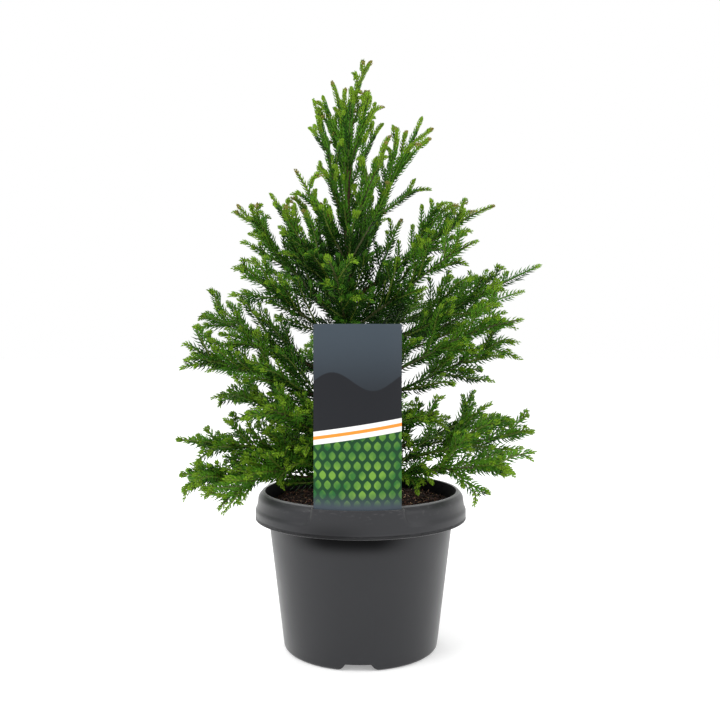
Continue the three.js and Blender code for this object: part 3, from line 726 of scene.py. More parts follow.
@functools.cache
def grown_crown():
    """The limbs, and every shoot and twig of the crown."""
    limbs = [Limb(row, values) for row, values in enumerate(LIMB_ROWS)]
    grow_sides(limbs)
    cells = Cells(FINER.cell)
    trunk = TrunkStretch(TRUNK.needled_from, TRUNK.tip)
    shoots = [Shoot(trunk, "top", 0, ALL_BARK, trunk.bark_radius)]
    for limb in limbs:
        chance = seeded(SEEDS.sway + limb.row)
        nod = 0 if limb.name == "leader" else FINER.nod
        limb.stem = limb.line.swayed(chance, FINER.stem_sway, nod)
        shoots.append(Shoot(limb.stem, limb.part, 0, limb.bare, limb.bark_radius))
        for side in limb.sides:
            shoots.append(Shoot(side.swayed(chance, FINER.side_sway, FINER.nod), limb.part, 1))
        for line in (limb.stem, *limb.sides):
            cells.claim(line.spots(FINER.claim_from, 1, cells.size), np.zeros((0, 3)))
    for limb in limbs:
        chance = seeded(SEEDS.finer + limb.row)
        longest = max(FINER.least, limb.size * FINER.spread)
        step, rise = step_and_rise(limb)
        ends = (FINER.first_share, FINER.last_share)
        turn = limb.turn + FINER.turn
        for line in finer_shoots(limb.stem, *ends, step, turn, longest, chance, rise):
            grow_finer(line, limb.part, cells, chance, shoots)
    grow_along_trunk(cells, shoots)
    hang_shoots(limbs, shoots)
    cells = Cells(TWIG.cell)
    for number, shoot in enumerate(list(shoots[1:])):
        grow_twigs(shoot, TWIG.turn * number, cells, seeded(SEEDS.twigs + number), shoots)
    return limbs, shoots


def hang_shoots(limbs, shoots):
    """Adds the few shoots that arch out and down over the pot."""
    by_name = {limb.name: limb for limb in limbs}
    for name, place, tip in HANGING:
        root = by_name[name].stem.at(place)
        rise = np.array([0, 0, HANGING_ARCH * np.linalg.norm(tip - root)])
        middle = mix(root, np.array(tip), HANGING_BEND) + rise
        shoots.append(Shoot(Line(root, middle, tip), by_name[name].part, 1))


def grow_along_trunk(cells, shoots):
    """Adds the short shoots that clothe the trunk between its limbs."""
    own = ALONG_TRUNK
    chance = seeded(SEEDS.trunk)
    upright = np.array([0, 0, own.rise])
    heights = mix(TRUNK.leafy_from, TRUNK.tip, (np.arange(own.count) / own.count) ** own.crowding)
    for number, height in enumerate(heights):
        foot = trunk_centre(height)
        line = Line(foot, foot + upright, foot + 2 * upright)
        roll = math.radians(number * SHOOT.golden_angle)
        length = own.length * (own.least + own.jitter * next(chance))
        length = length * mix(own.low_length, 1, height_share(height))
        angle = SHOOT.angle - own.upright * ease((height - own.upright_from) / own.upright_span)
        short = shoot_at(line, 0.0, roll, math.radians(angle), length)
        grow_finer(short, "top", cells, chance, shoots)


# ---- making meshes


def leave_all():
    """Nothing selected or active, so that the next tool acts on its own piece only."""
    if bpy.context.object and bpy.context.object.mode != "OBJECT":
        bpy.ops.object.mode_set(mode="OBJECT")
    bpy.ops.object.select_all(action="DESELECT")


def named(name):
    """The active object, under its own name."""
    piece = bpy.context.object
    piece.name = piece.data.name = name
    return piece


def added(name, add, **settings):
    """A new object made by one of Blender's own tools."""
    leave_all()
    add(**settings)
    return named(name)


def editing(piece):
    """Opens a piece for editing, all of it selected."""
    only(piece)
    bpy.ops.object.mode_set(mode="EDIT")
    bpy.ops.mesh.select_all(action="SELECT")


def only(piece):
    """Makes a piece the only one selected, and the active one."""
    leave_all()
    piece.select_set(True)
    bpy.context.view_layer.objects.active = piece


def settle(piece):
    """Writes a piece's place, turn and size into its mesh."""
    only(piece)
    bpy.ops.object.transform_apply(location=True, rotation=True, scale=True)


def modify(piece, kind, **settings):
    """Adds a modifier with its settings, and applies it."""
    modifier = piece.modifiers.new(kind.title(), kind)
    for name, value in settings.items():
        setattr(modifier, name, value)
    only(piece)
    bpy.ops.object.modifier_apply(modifier=modifier.name)


def smooth_by_angle(piece, degrees):
    only(piece)
    bpy.ops.object.shade_smooth_by_angle(angle=math.radians(degrees))


def finished(piece):
    """Turns a closed piece's faces outward, leaves its edit mode and settles it."""
    bpy.ops.mesh.normals_make_consistent(inside=False)
    bpy.ops.object.mode_set(mode="OBJECT")
    settle(piece)
    return piece


def dress(piece, materials, slot, *nodes):
    """Gives a piece its materials, sets it on the frame and hides the nodes that it stands for."""
    piece.data.materials.clear()
    for material in materials:
        piece.data.materials.append(material)
    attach(piece, "root")
    if nodes:
        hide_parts(*nodes)
    return piece


def piece_from(name, points, faces, smooth=False):
    """An object made of arrays of points and faces."""
    mesh = bpy.data.meshes.new(name)
    mesh.from_pydata(points.tolist(), [], faces.tolist(), shade_flat=not smooth)
    piece = bpy.data.objects.new(name, mesh)
    bpy.context.scene.collection.objects.link(piece)
    return piece


def vertices_of(piece):
    """A mesh's points as an array."""
    points = np.empty(3 * len(piece.data.vertices), dtype=np.float32)
    piece.data.vertices.foreach_get("co", points)
    return points.reshape(-1, 3).astype(float)


def move_vertices(piece, points):
    piece.data.vertices.foreach_set("co", points.astype(np.float32).ravel())
    piece.data.update()


def turned(name, profile, sides):
    """A disc extruded ring by ring along a profile of radius and height, closed on the axis."""
    radius, height = profile[0]
    disc = bpy.ops.mesh.primitive_circle_add
    start = {"vertices": sides, "radius": radius, "location": (0, 0, height)}
    piece = added(name, disc, fill_type="TRIFAN", **start)
    editing(piece)
    bpy.ops.mesh.select_mode(type="EDGE")
    bpy.ops.mesh.region_to_loop()
    for next_radius, next_height in profile[1:]:
        rise = (0, 0, next_height - height)
        bpy.ops.mesh.extrude_edges_move(TRANSFORM_OT_translate={"value": rise})
        share = next_radius / radius
        bpy.ops.transform.resize(value=(share, share, 1), center_override=(0, 0, 0))
        radius, height = next_radius, next_height
    bpy.ops.mesh.merge(type="CENTER")
    bpy.ops.mesh.select_all(action="SELECT")
    return finished(piece)


ROUND_SHARE = 0.45  # of the stretch between two corners, at most, that one corner's round takes


def rounded(corners, steps=4):
    """A profile with its corners rounded: each corner is a radius, a height and the round's size."""
    path = []
    count = len(corners)
    for number, (x, z, size) in enumerate(corners):
        here = np.array([x, z])
        if size <= 0 or number in (0, count - 1):
            path.append(here)
            continue
        before = np.array(corners[number - 1][:2]) - here
        after = np.array(corners[number + 1][:2]) - here
        cut = min(size, *(ROUND_SHARE * np.linalg.norm(side) for side in (before, after)))
        start = here + unit(before) * cut
        end = here + unit(after) * cut
        for t in np.linspace(0, 1, steps + 1):
            path.append((1 - t) ** 2 * start + 2 * (1 - t) * t * here + t**2 * end)
    return path


def filled_in(path, longest):
    """The same profile with long stretches divided."""
    dense = [path[0]]
    for point in path[1:]:
        last = dense[-1]
        count = max(1, math.ceil(np.linalg.norm(point - last) / longest))
        dense.extend(mix(last, point, step / count) for step in range(1, count + 1))
    return dense


# ---- materials

MIX_FACTOR, MIX_A, MIX_B, MIX_RESULT = 0, 6, 7, 2


def feed(tree, socket, value):
    """Sets a socket to a number or a colour, or links it to another node."""
    value = getattr(value, "socket", value)
    if hasattr(value, "links"):
        tree.links.new(value, socket)
    else:
        socket.default_value = (*value, 1) if socket.type == "RGBA" else value


def add_node(tree, kind, inputs=(), **settings):
    """A shader node with its settings, and its inputs fed by name or number."""
    node = tree.nodes.new(f"ShaderNode{kind}")
    for name, value in settings.items():
        setattr(node, name, value)
    for key, value in dict(inputs).items():
        feed(tree, node.inputs[key], value)
    return node


def mottle_group():
    """Node group: noise on the piece's own coordinates, as a mix of two colours and as a height."""
    group = bpy.data.node_groups.get("Mottle")
    if group:
        return group
    group = bpy.data.node_groups.new("Mottle", "ShaderNodeTree")
    for way, kind, names in (
        ("INPUT", "Color", ("Dark", "Light")),
        ("INPUT", "Float", ("Scale", "Low", "High")),
        ("INPUT", "Vector", ("Stretch",)),
        ("OUTPUT", "Color", ("Color",)),
        ("OUTPUT", "Float", ("Height",)),
    ):
        for name in names:
            group.interface.new_socket(name=name, in_out=way, socket_type=f"NodeSocket{kind}")
    given = group.nodes.new("NodeGroupInput").outputs
    place = add_node(group, "TexCoord").outputs["Object"]
    place = add_node(group, "Mapping", {"Vector": place, "Scale": given["Stretch"]}).outputs["Vector"]
    grain = {"Vector": place, "Scale": given["Scale"], "Detail": 4}
    grain = add_node(group, "TexNoise", grain).outputs["Fac"]
    ends = {"Value": grain, "From Min": given["Low"], "From Max": given["High"]}
    spread = add_node(group, "MapRange", ends).outputs["Result"]
    colours = {MIX_FACTOR: spread, MIX_A: given["Dark"], MIX_B: given["Light"]}
    blend = add_node(group, "Mix", colours, data_type="RGBA")
    results = group.nodes.new("NodeGroupOutput").inputs
    feed(group, results["Color"], blend.outputs[MIX_RESULT])
    feed(group, results["Height"], grain)
    return group


class Value:
    """A node's output that can be reckoned with: each step adds a node."""

    def __init__(self, tree, socket):
        self.tree = tree
        self.socket = socket

    def step(self, operation, *others):
        node = add_node(self.tree, "Math", enumerate((self, *others)), operation=operation)
        return Value(self.tree, node.outputs[0])

    def __add__(self, other):
        return self.step("ADD", other)

    def __sub__(self, other):
        return self.step("SUBTRACT", other)

    def __mul__(self, other):
        return self.step("MULTIPLY", other)

    def __abs__(self):
        return self.step("ABSOLUTE")

    def ramp(self, low, high, to_low=0.0, to_high=1.0):
        """Carried from one range to another, eased at both ends."""
        inputs = {"Value": self, "From Min": low, "From Max": high}
        inputs.update({"To Min": to_low, "To Max": to_high})
        node = add_node(self.tree, "MapRange", inputs, interpolation_type="SMOOTHSTEP")
        return Value(self.tree, node.outputs["Result"])


class Surface:
    """A material in the making."""

    def __init__(self, name, roughness, specular=0.5):
        self.material = bpy.data.materials.new(name)
        self.material.use_nodes = True
        self.tree = self.material.node_tree
        self.shade({"Roughness": roughness, "Specular IOR Level": specular})

    def shade(self, inputs):
        """Feeds the shader's inputs."""
        for name, value in inputs.items():
            feed(self.tree, self.tree.nodes["Principled BSDF"].inputs[name], value)

    def mottle(self, dark, light, scale, stretch=(1, 1, 1), low=0.35, high=0.65):
        """Colour and height of the mottle group, with values of its own."""
        inputs = {"Dark": dark, "Light": light, "Scale": scale, "Stretch": stretch}
        inputs.update({"Low": low, "High": high})
        node = add_node(self.tree, "Group", inputs, node_tree=mottle_group())
        return [Value(self.tree, node.outputs[name]) for name in ("Color", "Height")]

    def axes(self, kind, output):
        """The coordinates of a place, one by one."""
        place = add_node(self.tree, kind).outputs[output]
        apart = add_node(self.tree, "SeparateXYZ", {0: place})
        return [Value(self.tree, socket) for socket in apart.outputs]

    def blend(self, factor, low, high):
        """A mix of two colours, each a plain colour or another node's."""
        inputs = {MIX_FACTOR: factor, MIX_A: low, MIX_B: high}
        node = add_node(self.tree, "Mix", inputs, data_type="RGBA")
        return Value(self.tree, node.outputs[MIX_RESULT])

    def bump(self, height, depth, strength=1.0):
        inputs = {"Height": height, "Distance": depth, "Strength": strength}
        self.shade({"Normal": add_node(self.tree, "Bump", inputs).outputs["Normal"]})


def mottled(name, dark, light, scale, roughness, depth, stretch=(1, 1, 1), specular=0.5):
    """A plain mottled surface with a fine relief."""
    surface = Surface(name, roughness, specular)
    colour, height = surface.mottle(dark, light, scale, stretch)
    surface.shade({"Base Color": colour})
    surface.bump(height, depth)
    return surface.material


def darker(colour, share):
    return tuple(share * channel for channel in colour)


def plastic_material(settings):
    """Satin moulded plastic: faintly cloudy and rubbed pale along the rim, with painted highlights on
    the lip and the skirt's hem, a painted shadow under the skirt, a painted dark reflection on its left
    and painted shade inside.
    """
    surface = Surface("moulded_slate_plastic", roughness=0.42, specular=0.32)
    colours = (darker(settings.plastic, 0.97), darker(settings.plastic, 1.03))
    cloud, cloud_height = surface.mottle(*colours, scale=30)
    looks = {"scale": 220, "stretch": (1, 1, 2.5), "low": 0.56, "high": 0.74}
    rub, rub_height = surface.mottle((0, 0, 0), (1, 1, 1), **looks)
    across, depth, height = surface.axes("TexCoord", "Object")
    skirt, shoulder, top = POT.skirt_height, POT.shoulder_height, POT.height
    on_wall = height.ramp(skirt, skirt - POT.edge)
    off_wall = height.ramp(skirt - POT.edge, skirt)

    # Painted shade: a painted shadow on the wall below the middle of the skirt, a painted dark
    # reflection on the left of the skirt, and painted shade on the wall inside.
    middle = abs(across + PAINTED_LIGHT_AND_WEAR.shade_middle).ramp(PAINTED_LIGHT_AND_WEAR.shade_ends, PAINTED_LIGHT_AND_WEAR.shade_full)
    under_skirt = height.ramp(skirt - PAINTED_LIGHT_AND_WEAR.shade_foot, skirt - PAINTED_LIGHT_AND_WEAR.shade_top) * on_wall * middle
    # A painted dark reflection darkens the left of the skirt's front.
    aside = abs(across + PAINTED_LIGHT_AND_WEAR.dull_middle).ramp(PAINTED_LIGHT_AND_WEAR.dull_ends, PAINTED_LIGHT_AND_WEAR.dull_full, 0.0, PAINTED_LIGHT_AND_WEAR.dull)
    painted_dark_reflection = height.ramp(shoulder + PAINTED_LIGHT_AND_WEAR.dull_top, shoulder - PAINTED_LIGHT_AND_WEAR.dull_foot) * off_wall * aside
    # Painted shade darkens the wall inside the lip.
    away = (across * across + depth * depth).step("SQRT")
    lip_inner = POT.lip_radius - POT.lip_width
    within = away.ramp(lip_inner + PAINTED_LIGHT_AND_WEAR.inner_edge, lip_inner)
    inside = within * height.ramp(POT.neck_height, skirt, 0.0, PAINTED_LIGHT_AND_WEAR.inner)
    sheltered = under_skirt.step("MAXIMUM", painted_dark_reflection).step("MAXIMUM", inside)

    # Rubbed spots on the rim, and painted highlights along the whole lip and along the skirt's hem.
    on_rim = height.ramp(shoulder, top, 0.0, PAINTED_LIGHT_AND_WEAR.rim) * rub
    lip_highlight = height.ramp(top - PAINTED_LIGHT_AND_WEAR.lip_foot, top - PAINTED_LIGHT_AND_WEAR.lip_top, 0.0, PAINTED_LIGHT_AND_WEAR.lip)
    # A painted highlight along the skirt's lower edge.
    hem_highlight = height.ramp(skirt + PAINTED_LIGHT_AND_WEAR.hem_top, skirt + PAINTED_LIGHT_AND_WEAR.hem_foot, 0.0, PAINTED_LIGHT_AND_WEAR.hem) * off_wall
    # The pale scuff colour serves both the rubbed spots and the painted highlights.
    wear_and_highlights = on_rim.step("MAXIMUM", lip_highlight).step("MAXIMUM", hem_highlight)
    rubbed_and_highlit = surface.blend(wear_and_highlights, cloud, settings.scuff_and_highlight)
    # The painted shade darkens the colour, and takes away specular and sheen where it lies.
    surface.shade({
        "Base Color": surface.blend(sheltered, rubbed_and_highlit, darker(settings.plastic, PAINTED_LIGHT_AND_WEAR.sheltered)),
        "Roughness": cloud_height.ramp(0.3, 0.7, 0.40, 0.46),
        "Specular IOR Level": sheltered.ramp(0.0, 1.0, 0.32, 0.05),
        "Sheen Weight": sheltered.ramp(0.0, 1.0, 0.34, 0.0),
        "Sheen Roughness": 0.35,
    })
    surface.bump(rub_height, depth=0.00006, strength=0.5)
    return surface.material


def label_material(settings):
    """A plain printed card: slate ground, straight stripes and rows of plain leaf shapes."""
    surface = Surface("printed_card", roughness=0.32, specular=0.12)
    across, up, _ = surface.axes("UVMap", "UV")
    ground = surface.blend(up.ramp(0.5, 1.0), settings.slate_deep, settings.slate)
    hill_line = (across * PRINT.waves).step("SINE") * PRINT.wave_height + PRINT.hills
    hills = (up - hill_line).ramp(-PRINT.hills_edge, PRINT.hills_edge)
    sky = surface.blend(hills, settings.slate_deep, ground)
    rows = up * PRINT.rows
    shift = rows.step("FLOOR").step("MODULO", 2.0) * 0.5
    column = (across * PRINT.columns + shift).step("FRACT")
    half_way = rows.step("FRACT") * 2.0 - 1.0
    leaf_edge = half_way * half_way * -PRINT.leaf_width + PRINT.leaf_width
    leaf = (leaf_edge - abs(column - 0.5)).ramp(*PRINT.leaf_edge)
    greens, _ = surface.mottle(PRINT.leaf_dark, PRINT.leaf_light, scale=60)
    field = surface.blend(leaf, PRINT.field, greens)
    lower = surface.blend(up.ramp(*PRINT.foot_fade), settings.slate, field)
    slanted = across * PRINT.slant + up
    picture = surface.blend(slanted.ramp(*PRINT.field_top), lower, PRINT.paper)
    stripe = abs(slanted - PRINT.stripe).ramp(*PRINT.stripe_edge)
    banded = surface.blend(stripe, picture, settings.orange)
    surface.shade({"Base Color": surface.blend(slanted.ramp(*PRINT.band_top), banded, sky)})
    return surface.material


# ---- pot


def pot_profile():
    """Half outline of the wall, from the middle of the underside round the lip to the floor inside."""

    def wall_at(height):
        return mix(POT.foot_radius, POT.neck_radius, height / POT.neck_height)

    floor = POT.base_raise + POT.base_thickness
    ring = POT.foot_radius - POT.ring_width
    lip_inner = POT.lip_radius - POT.lip_width
    skirt_inner = POT.skirt_radius - POT.skirt_width
    web = POT.skirt_height + POT.web
    edge = POT.edge
    shoulder = POT.shoulder_height
    corners = [
        (POT.hub_radius, 0, 0),
        (POT.hub_radius + POT.draft, POT.base_raise, edge),
        (ring - POT.draft, POT.base_raise, edge),
        (ring, 0, edge),
        (POT.foot_radius, 0, POT.wall_round),
        (POT.neck_radius, web, 2 * edge),
        (skirt_inner, web, 2 * edge),
        (skirt_inner, POT.skirt_height, edge),
        (POT.skirt_radius, POT.skirt_height, POT.skirt_round),
        (POT.skirt_radius - edge, shoulder - edge, POT.shoulder_round),
        (POT.band_radius, shoulder + POT.shoulder_rise, POT.shoulder_round),
        (POT.band_radius - edge, POT.height - POT.lip_fall, POT.band_round),
        (POT.lip_radius, POT.height, edge),
        (lip_inner, POT.height, edge),
        (lip_inner - edge, web + POT.wall, 2 * edge),
        (POT.neck_radius - POT.wall, POT.neck_height, 2 * edge),
        (wall_at(floor) - POT.wall, floor, POT.wall_round),
        (AXIS_RING, floor, 0),
    ]
    path = rounded(corners)
    on_band = [x > lip_inner and z > POT.skirt_height - edge for x, z in path]
    first, end = on_band.index(True), len(path) - on_band[::-1].index(True)
    return [*path[:first], *filled_in(path[first:end], POT.band_step), *path[end:]]


def raise_panel(piece):
    """Brings the front of the rim band out to a smooth panel, rounded where the shoulder turns up."""
    points = vertices_of(piece)
    x, y, z = points.T
    radius = np.hypot(x, y)
    angle = np.arctan2(x, -y)
    outside = (radius > POT.band_radius - PANEL.depth) & (z > POT.skirt_height + POT.edge)
    beyond = (np.abs(angle) - math.radians(PANEL.half_angle)) * PANEL.radius
    above = z - POT.shoulder_height
    corner = np.hypot(np.maximum(PANEL.fillet - beyond, 0), np.maximum(PANEL.fillet - above, 0))
    in_corner = (beyond < PANEL.fillet) & (above < PANEL.fillet)
    recess = np.where(in_corner, PANEL.fillet - corner, np.minimum(beyond, above))
    proud = 1 - ease(recess / PANEL.ease + 0.5)
    under_top = ease((PANEL.top - z) / POT.edge)
    reach = mix(radius, PANEL.radius, proud * under_top)
    scale = np.where(outside, np.maximum(reach, radius) / np.maximum(radius, 1e-6), 1)
    points[:, :2] *= scale[:, None]
    move_vertices(piece, points)


def cut(piece, cutter):
    """Cuts one piece out of another, and removes the cutter."""
    modify(piece, "BOOLEAN", operation="DIFFERENCE", solver="EXACT", object=cutter)
    bpy.data.objects.remove(cutter)


def notch_cutter(turn):
    """A wedge with rounded corners that cuts one notch through the foot ring."""
    depth = 3 * POT.ring_width
    piece = added("notch_cutter", bpy.ops.mesh.primitive_cube_add, size=1)
    editing(piece)
    bpy.ops.transform.resize(value=(NOTCH.foot_width, depth, 2 * NOTCH.height))
    bpy.ops.mesh.subdivide(number_cuts=15)
    bpy.ops.object.mode_set(mode="OBJECT")
    slope = 1 - NOTCH.top_width / NOTCH.foot_width
    for vertex in piece.data.vertices:
        rise = vertex.co.z / NOTCH.height
        flare = 2 * NOTCH.flare / NOTCH.foot_width * max(0, 1 - max(0, rise) / NOTCH.flare_top) ** 2
        vertex.co.x *= 1 - slope * rise + flare
        vertex.co.y -= POT.foot_radius - depth / 4
    bevel = {"width": NOTCH.round, "segments": 4, "angle_limit": math.radians(50)}
    modify(piece, "BEVEL", limit_method="ANGLE", **bevel)
    piece.rotation_euler.z = turn
    settle(piece)
    return piece


def card_slice(name, width, thickness, low, high, columns=48, rows=2):
    """An upright card at the front, bent to the rim's curve, with its print laid out from 0 to 1."""
    grid = {"x_subdivisions": columns, "y_subdivisions": rows, "size": 1}
    piece = added(name, bpy.ops.mesh.primitive_grid_add, **grid)
    points = vertices_of(piece)
    half = math.asin(width / 2 / LABEL.radius)
    angle = 2 * half * points[:, 0] + TURN
    height = mix(low, high, points[:, 1] + 0.5)
    bent = [LABEL.radius * np.sin(angle), -LABEL.radius * np.cos(angle), height]
    move_vertices(piece, np.stack(bent, axis=1))
    modify(piece, "SOLIDIFY", thickness=thickness, offset=0)
    return piece


class CRYPTOMERIA_OT_pot(bpy.types.Operator):
    """Turns the pot, raises its label panel, and cuts its slot, foot notches and drain holes"""

    bl_idname = "cryptomeria.make_pot"
    bl_label = "Pot"

    def execute(self, context):
        settings = context.scene.cryptomeria_pot
        pot = turned("pot_body", pot_profile(), settings.sides)
        raise_panel(pot)
        pot.rotation_euler.z = TURN
        settle(pot)
        room = LABEL.thickness + 2 * SLOT.gap
        width = LABEL.width + 4 * SLOT.gap
        cut(pot, card_slice("slot_cutter", width, room, SLOT.floor, POT.height + SLOT.past_lip))
        for notch in range(NOTCH.count):
            cut(pot, notch_cutter(TURN + notch / NOTCH.count * 2 * math.pi))
        for hole in range(DRAIN.count):
            turn = TURN + (hole + 0.5) / DRAIN.count * 2 * math.pi
            place = (DRAIN.ring * math.cos(turn), DRAIN.ring * math.sin(turn), 0)
            drill = {"vertices": 32, "radius": DRAIN.radius, "depth": DRAIN.depth, "location": place}
            drill = added("drain_drill", bpy.ops.mesh.primitive_cylinder_add, **drill)
            settle(drill)
            cut(pot, drill)
        smooth_by_angle(pot, POT.smooth)
        dress(pot, [plastic_material(settings)], "pot", "pot")
        return {"FINISHED"}


# ---- soil


def soil_height(x, y):
    """Height of the loose soil surface: level in the middle, lower at the wall, lumpy all over."""
    radius = math.hypot(x, y)
    slope = SOIL.edge_drop * ease((radius - SOIL.level) / (SOIL.brim - SOIL.level))
    lumps = sum(
        size * noise.noise(Vector((x, y, place)) * fineness) for size, fineness, place in SOIL.lumps
    )
    return SOIL.top + SOIL.heap - slope + lumps - SOIL.sunk


def grains(name):
    """Many small lumps lying on the soil, each with eight faces and a turn of its own."""
    count, size, seed, flat, long = GRAINS[name]
    generator = np.random.default_rng(seed)
    radius = (SOIL.brim - GRAIN.from_wall) * np.sqrt(generator.random(count))
    turn = generator.random(count) * 2 * math.pi
    x, y = radius * np.cos(turn), radius * np.sin(turn)
    clear = np.hypot(x - TRUNK_LINE[0, 1], y) > SOIL.clear
    x, y = x[clear], y[clear]
    z = np.array([soil_height(*place) for place in zip(x, y)])
    count = len(x)
    ends = [[1, 0, 0], [0, 1, 0], [-1, 0, 0], [0, -1, 0], [0, 0, 1], [0, 0, -1]]
    shape = np.array(ends, dtype=float)[None] * generator.uniform(*GRAIN.reach, (count, 6, 1)) * size
    shape *= np.array([long, 1, flat]) * generator.uniform(*GRAIN.size, (count, 1, 1))
    yaw = generator.random(count) * 2 * math.pi
    tilt = generator.normal(0, GRAIN.tilt, count)
    c, s = np.cos(tilt)[:, None], np.sin(tilt)[:, None]
    px, pz = shape[:, :, 0] * c - shape[:, :, 2] * s, shape[:, :, 0] * s + shape[:, :, 2] * c
    c, s = np.cos(yaw)[:, None], np.sin(yaw)[:, None]
    py = px * s + shape[:, :, 1] * c
    px = px * c - shape[:, :, 1] * s
    pz = pz + z[:, None] + GRAIN.lift * size * flat
    points = np.stack([px + x[:, None], py + y[:, None], pz], axis=2)
    caps = [[0, 1, 4], [1, 2, 4], [2, 3, 4], [3, 0, 4], [1, 0, 5], [2, 1, 5], [3, 2, 5], [0, 3, 5]]
    faces = np.array(caps)[None] + 6 * np.arange(count)[:, None, None]
    return piece_from(name, points.reshape(-1, 3), faces.reshape(-1, 3))


class CRYPTOMERIA_OT_soil(bpy.types.Operator):
    """Fills the pot with potting soil and strews bark and wood fibres over it"""

    bl_idname = "cryptomeria.make_soil"
    bl_label = "Soil"

    def execute(self, context):
        settings = context.scene.cryptomeria_pot
        radius = POT.foot_radius - POT.wall - SOIL.foot_gap
        surface = SOIL.top + SOIL.heap
        corners = [
            (SOIL.middle, SOIL.floor, 0),
            (radius, SOIL.floor, SOIL.foot_round),
            (POT.neck_radius - POT.wall - SOIL.wall_gap, POT.neck_height, 0),
            (SOIL.brim, POT.skirt_height + SOIL.above_skirt, 0),
            (SOIL.brim, surface - SOIL.edge_drop, SOIL.edge_round),
            (AXIS_RING, surface, 0),
        ]
        path = rounded(corners)
        soil = turned("soil_bed", [*path[:-2], *filled_in(path[-2:], SOIL.ring_step)], SOIL.sides)
        points = vertices_of(soil)
        on_top = points[:, 2] > surface - SOIL.edge_drop - SOIL.under_edge
        points[on_top, 2] = [soil_height(x, y) for x, y in points[on_top, :2]]
        move_vertices(soil, points)
        peat, chips, flecks = settings.peat, settings.chips, settings.flecks
        colours = (darker(peat, 0.5), darker(peat, 1.8))
        damp = mottled("damp_peat", *colours, scale=700, roughness=0.95, depth=0.001)
        dress(soil, [damp], "soil", "soil")
        colours = (darker(peat, 0.5), darker(chips, 0.35))
        crumbs = mottled("peat_crumbs", *colours, scale=400, roughness=0.95, depth=0.0006)
        bark = mottled("composted_bark", peat, chips, scale=260, roughness=0.9, depth=0.0006)
        colours = (darker(flecks, 0.4), flecks)
        wood = mottled("wood_fibres", *colours, scale=240, roughness=0.85, depth=0.0004)
        for name, material in zip(GRAINS, (crumbs, bark, wood)):
            dress(grains(name), [material], "soil")
        return {"FINISHED"}


# ---- label


class CRYPTOMERIA_OT_label(bpy.types.Operator):
    """Stands the printed card in its slot"""

    bl_idname = "cryptomeria.make_label"
    bl_label = "Label"

    def execute(self, context):
        settings = context.scene.cryptomeria_pot
        size = (LABEL.width, LABEL.thickness, LABEL.foot, LABEL.top)
        card = card_slice("label_print", *size, columns=40, rows=60)
        modify(card, "BEVEL", width=LABEL.edge, segments=2, limit_method="ANGLE")
        smooth_by_angle(card, LABEL.smooth)
        colours = (settings.slate_deep, darker(settings.slate, 0.8))
        plain = mottled("card_back", *colours, scale=50, roughness=0.4, depth=0.00002)
        dress(card, [label_material(settings), plain], "label", "label_card")
        for face in card.data.polygons:
            outward = face.center.x * face.normal.x + face.center.y * face.normal.y
            face.material_index = 0 if outward > 0 else 1
        return {"FINISHED"}


# ---- trunk and boughs


def swept(name, centres, radii, resolution):
    """A limb with round ends cut square: a path with a radius at each point, made a mesh."""
    piece = added(name, bpy.ops.curve.primitive_nurbs_path_add)
    curve = piece.data
    curve.splines.clear()
    spline = curve.splines.new("POLY")
    spline.points.add(len(centres) - 1)
    for point, centre, radius in zip(spline.points, centres, radii):
        point.co = (*centre, 1)
        point.radius = radius
    curve.dimensions = "3D"
    curve.twist_mode = "MINIMUM"
    curve.bevel_depth = 1
    curve.bevel_resolution = resolution
    curve.use_fill_caps = True
    only(piece)
    bpy.ops.object.convert(target="MESH")
    piece = named(name)
    editing(piece)
    bpy.ops.mesh.remove_doubles(threshold=1e-6)
    return finished(piece)


def roughen(piece, centre_of, depth):
    """Raises long stringy ridges on a limb's bark."""
    points = vertices_of(piece)
    for number, point in enumerate(points):
        outward = point - centre_of(point)
        outward[2] = 0
        around = unit(outward) * BARK.around
        place = Vector((around[0], around[1], point[2] * BARK.along))
        ridges = 1 - abs(noise.noise(place * BARK.ridges)) * 2
        lumps = noise.noise(Vector(point) * BARK.lumps)
        points[number] = point + unit(outward) * depth * (ridges + BARK.lump_share * lumps)
    move_vertices(piece, points)


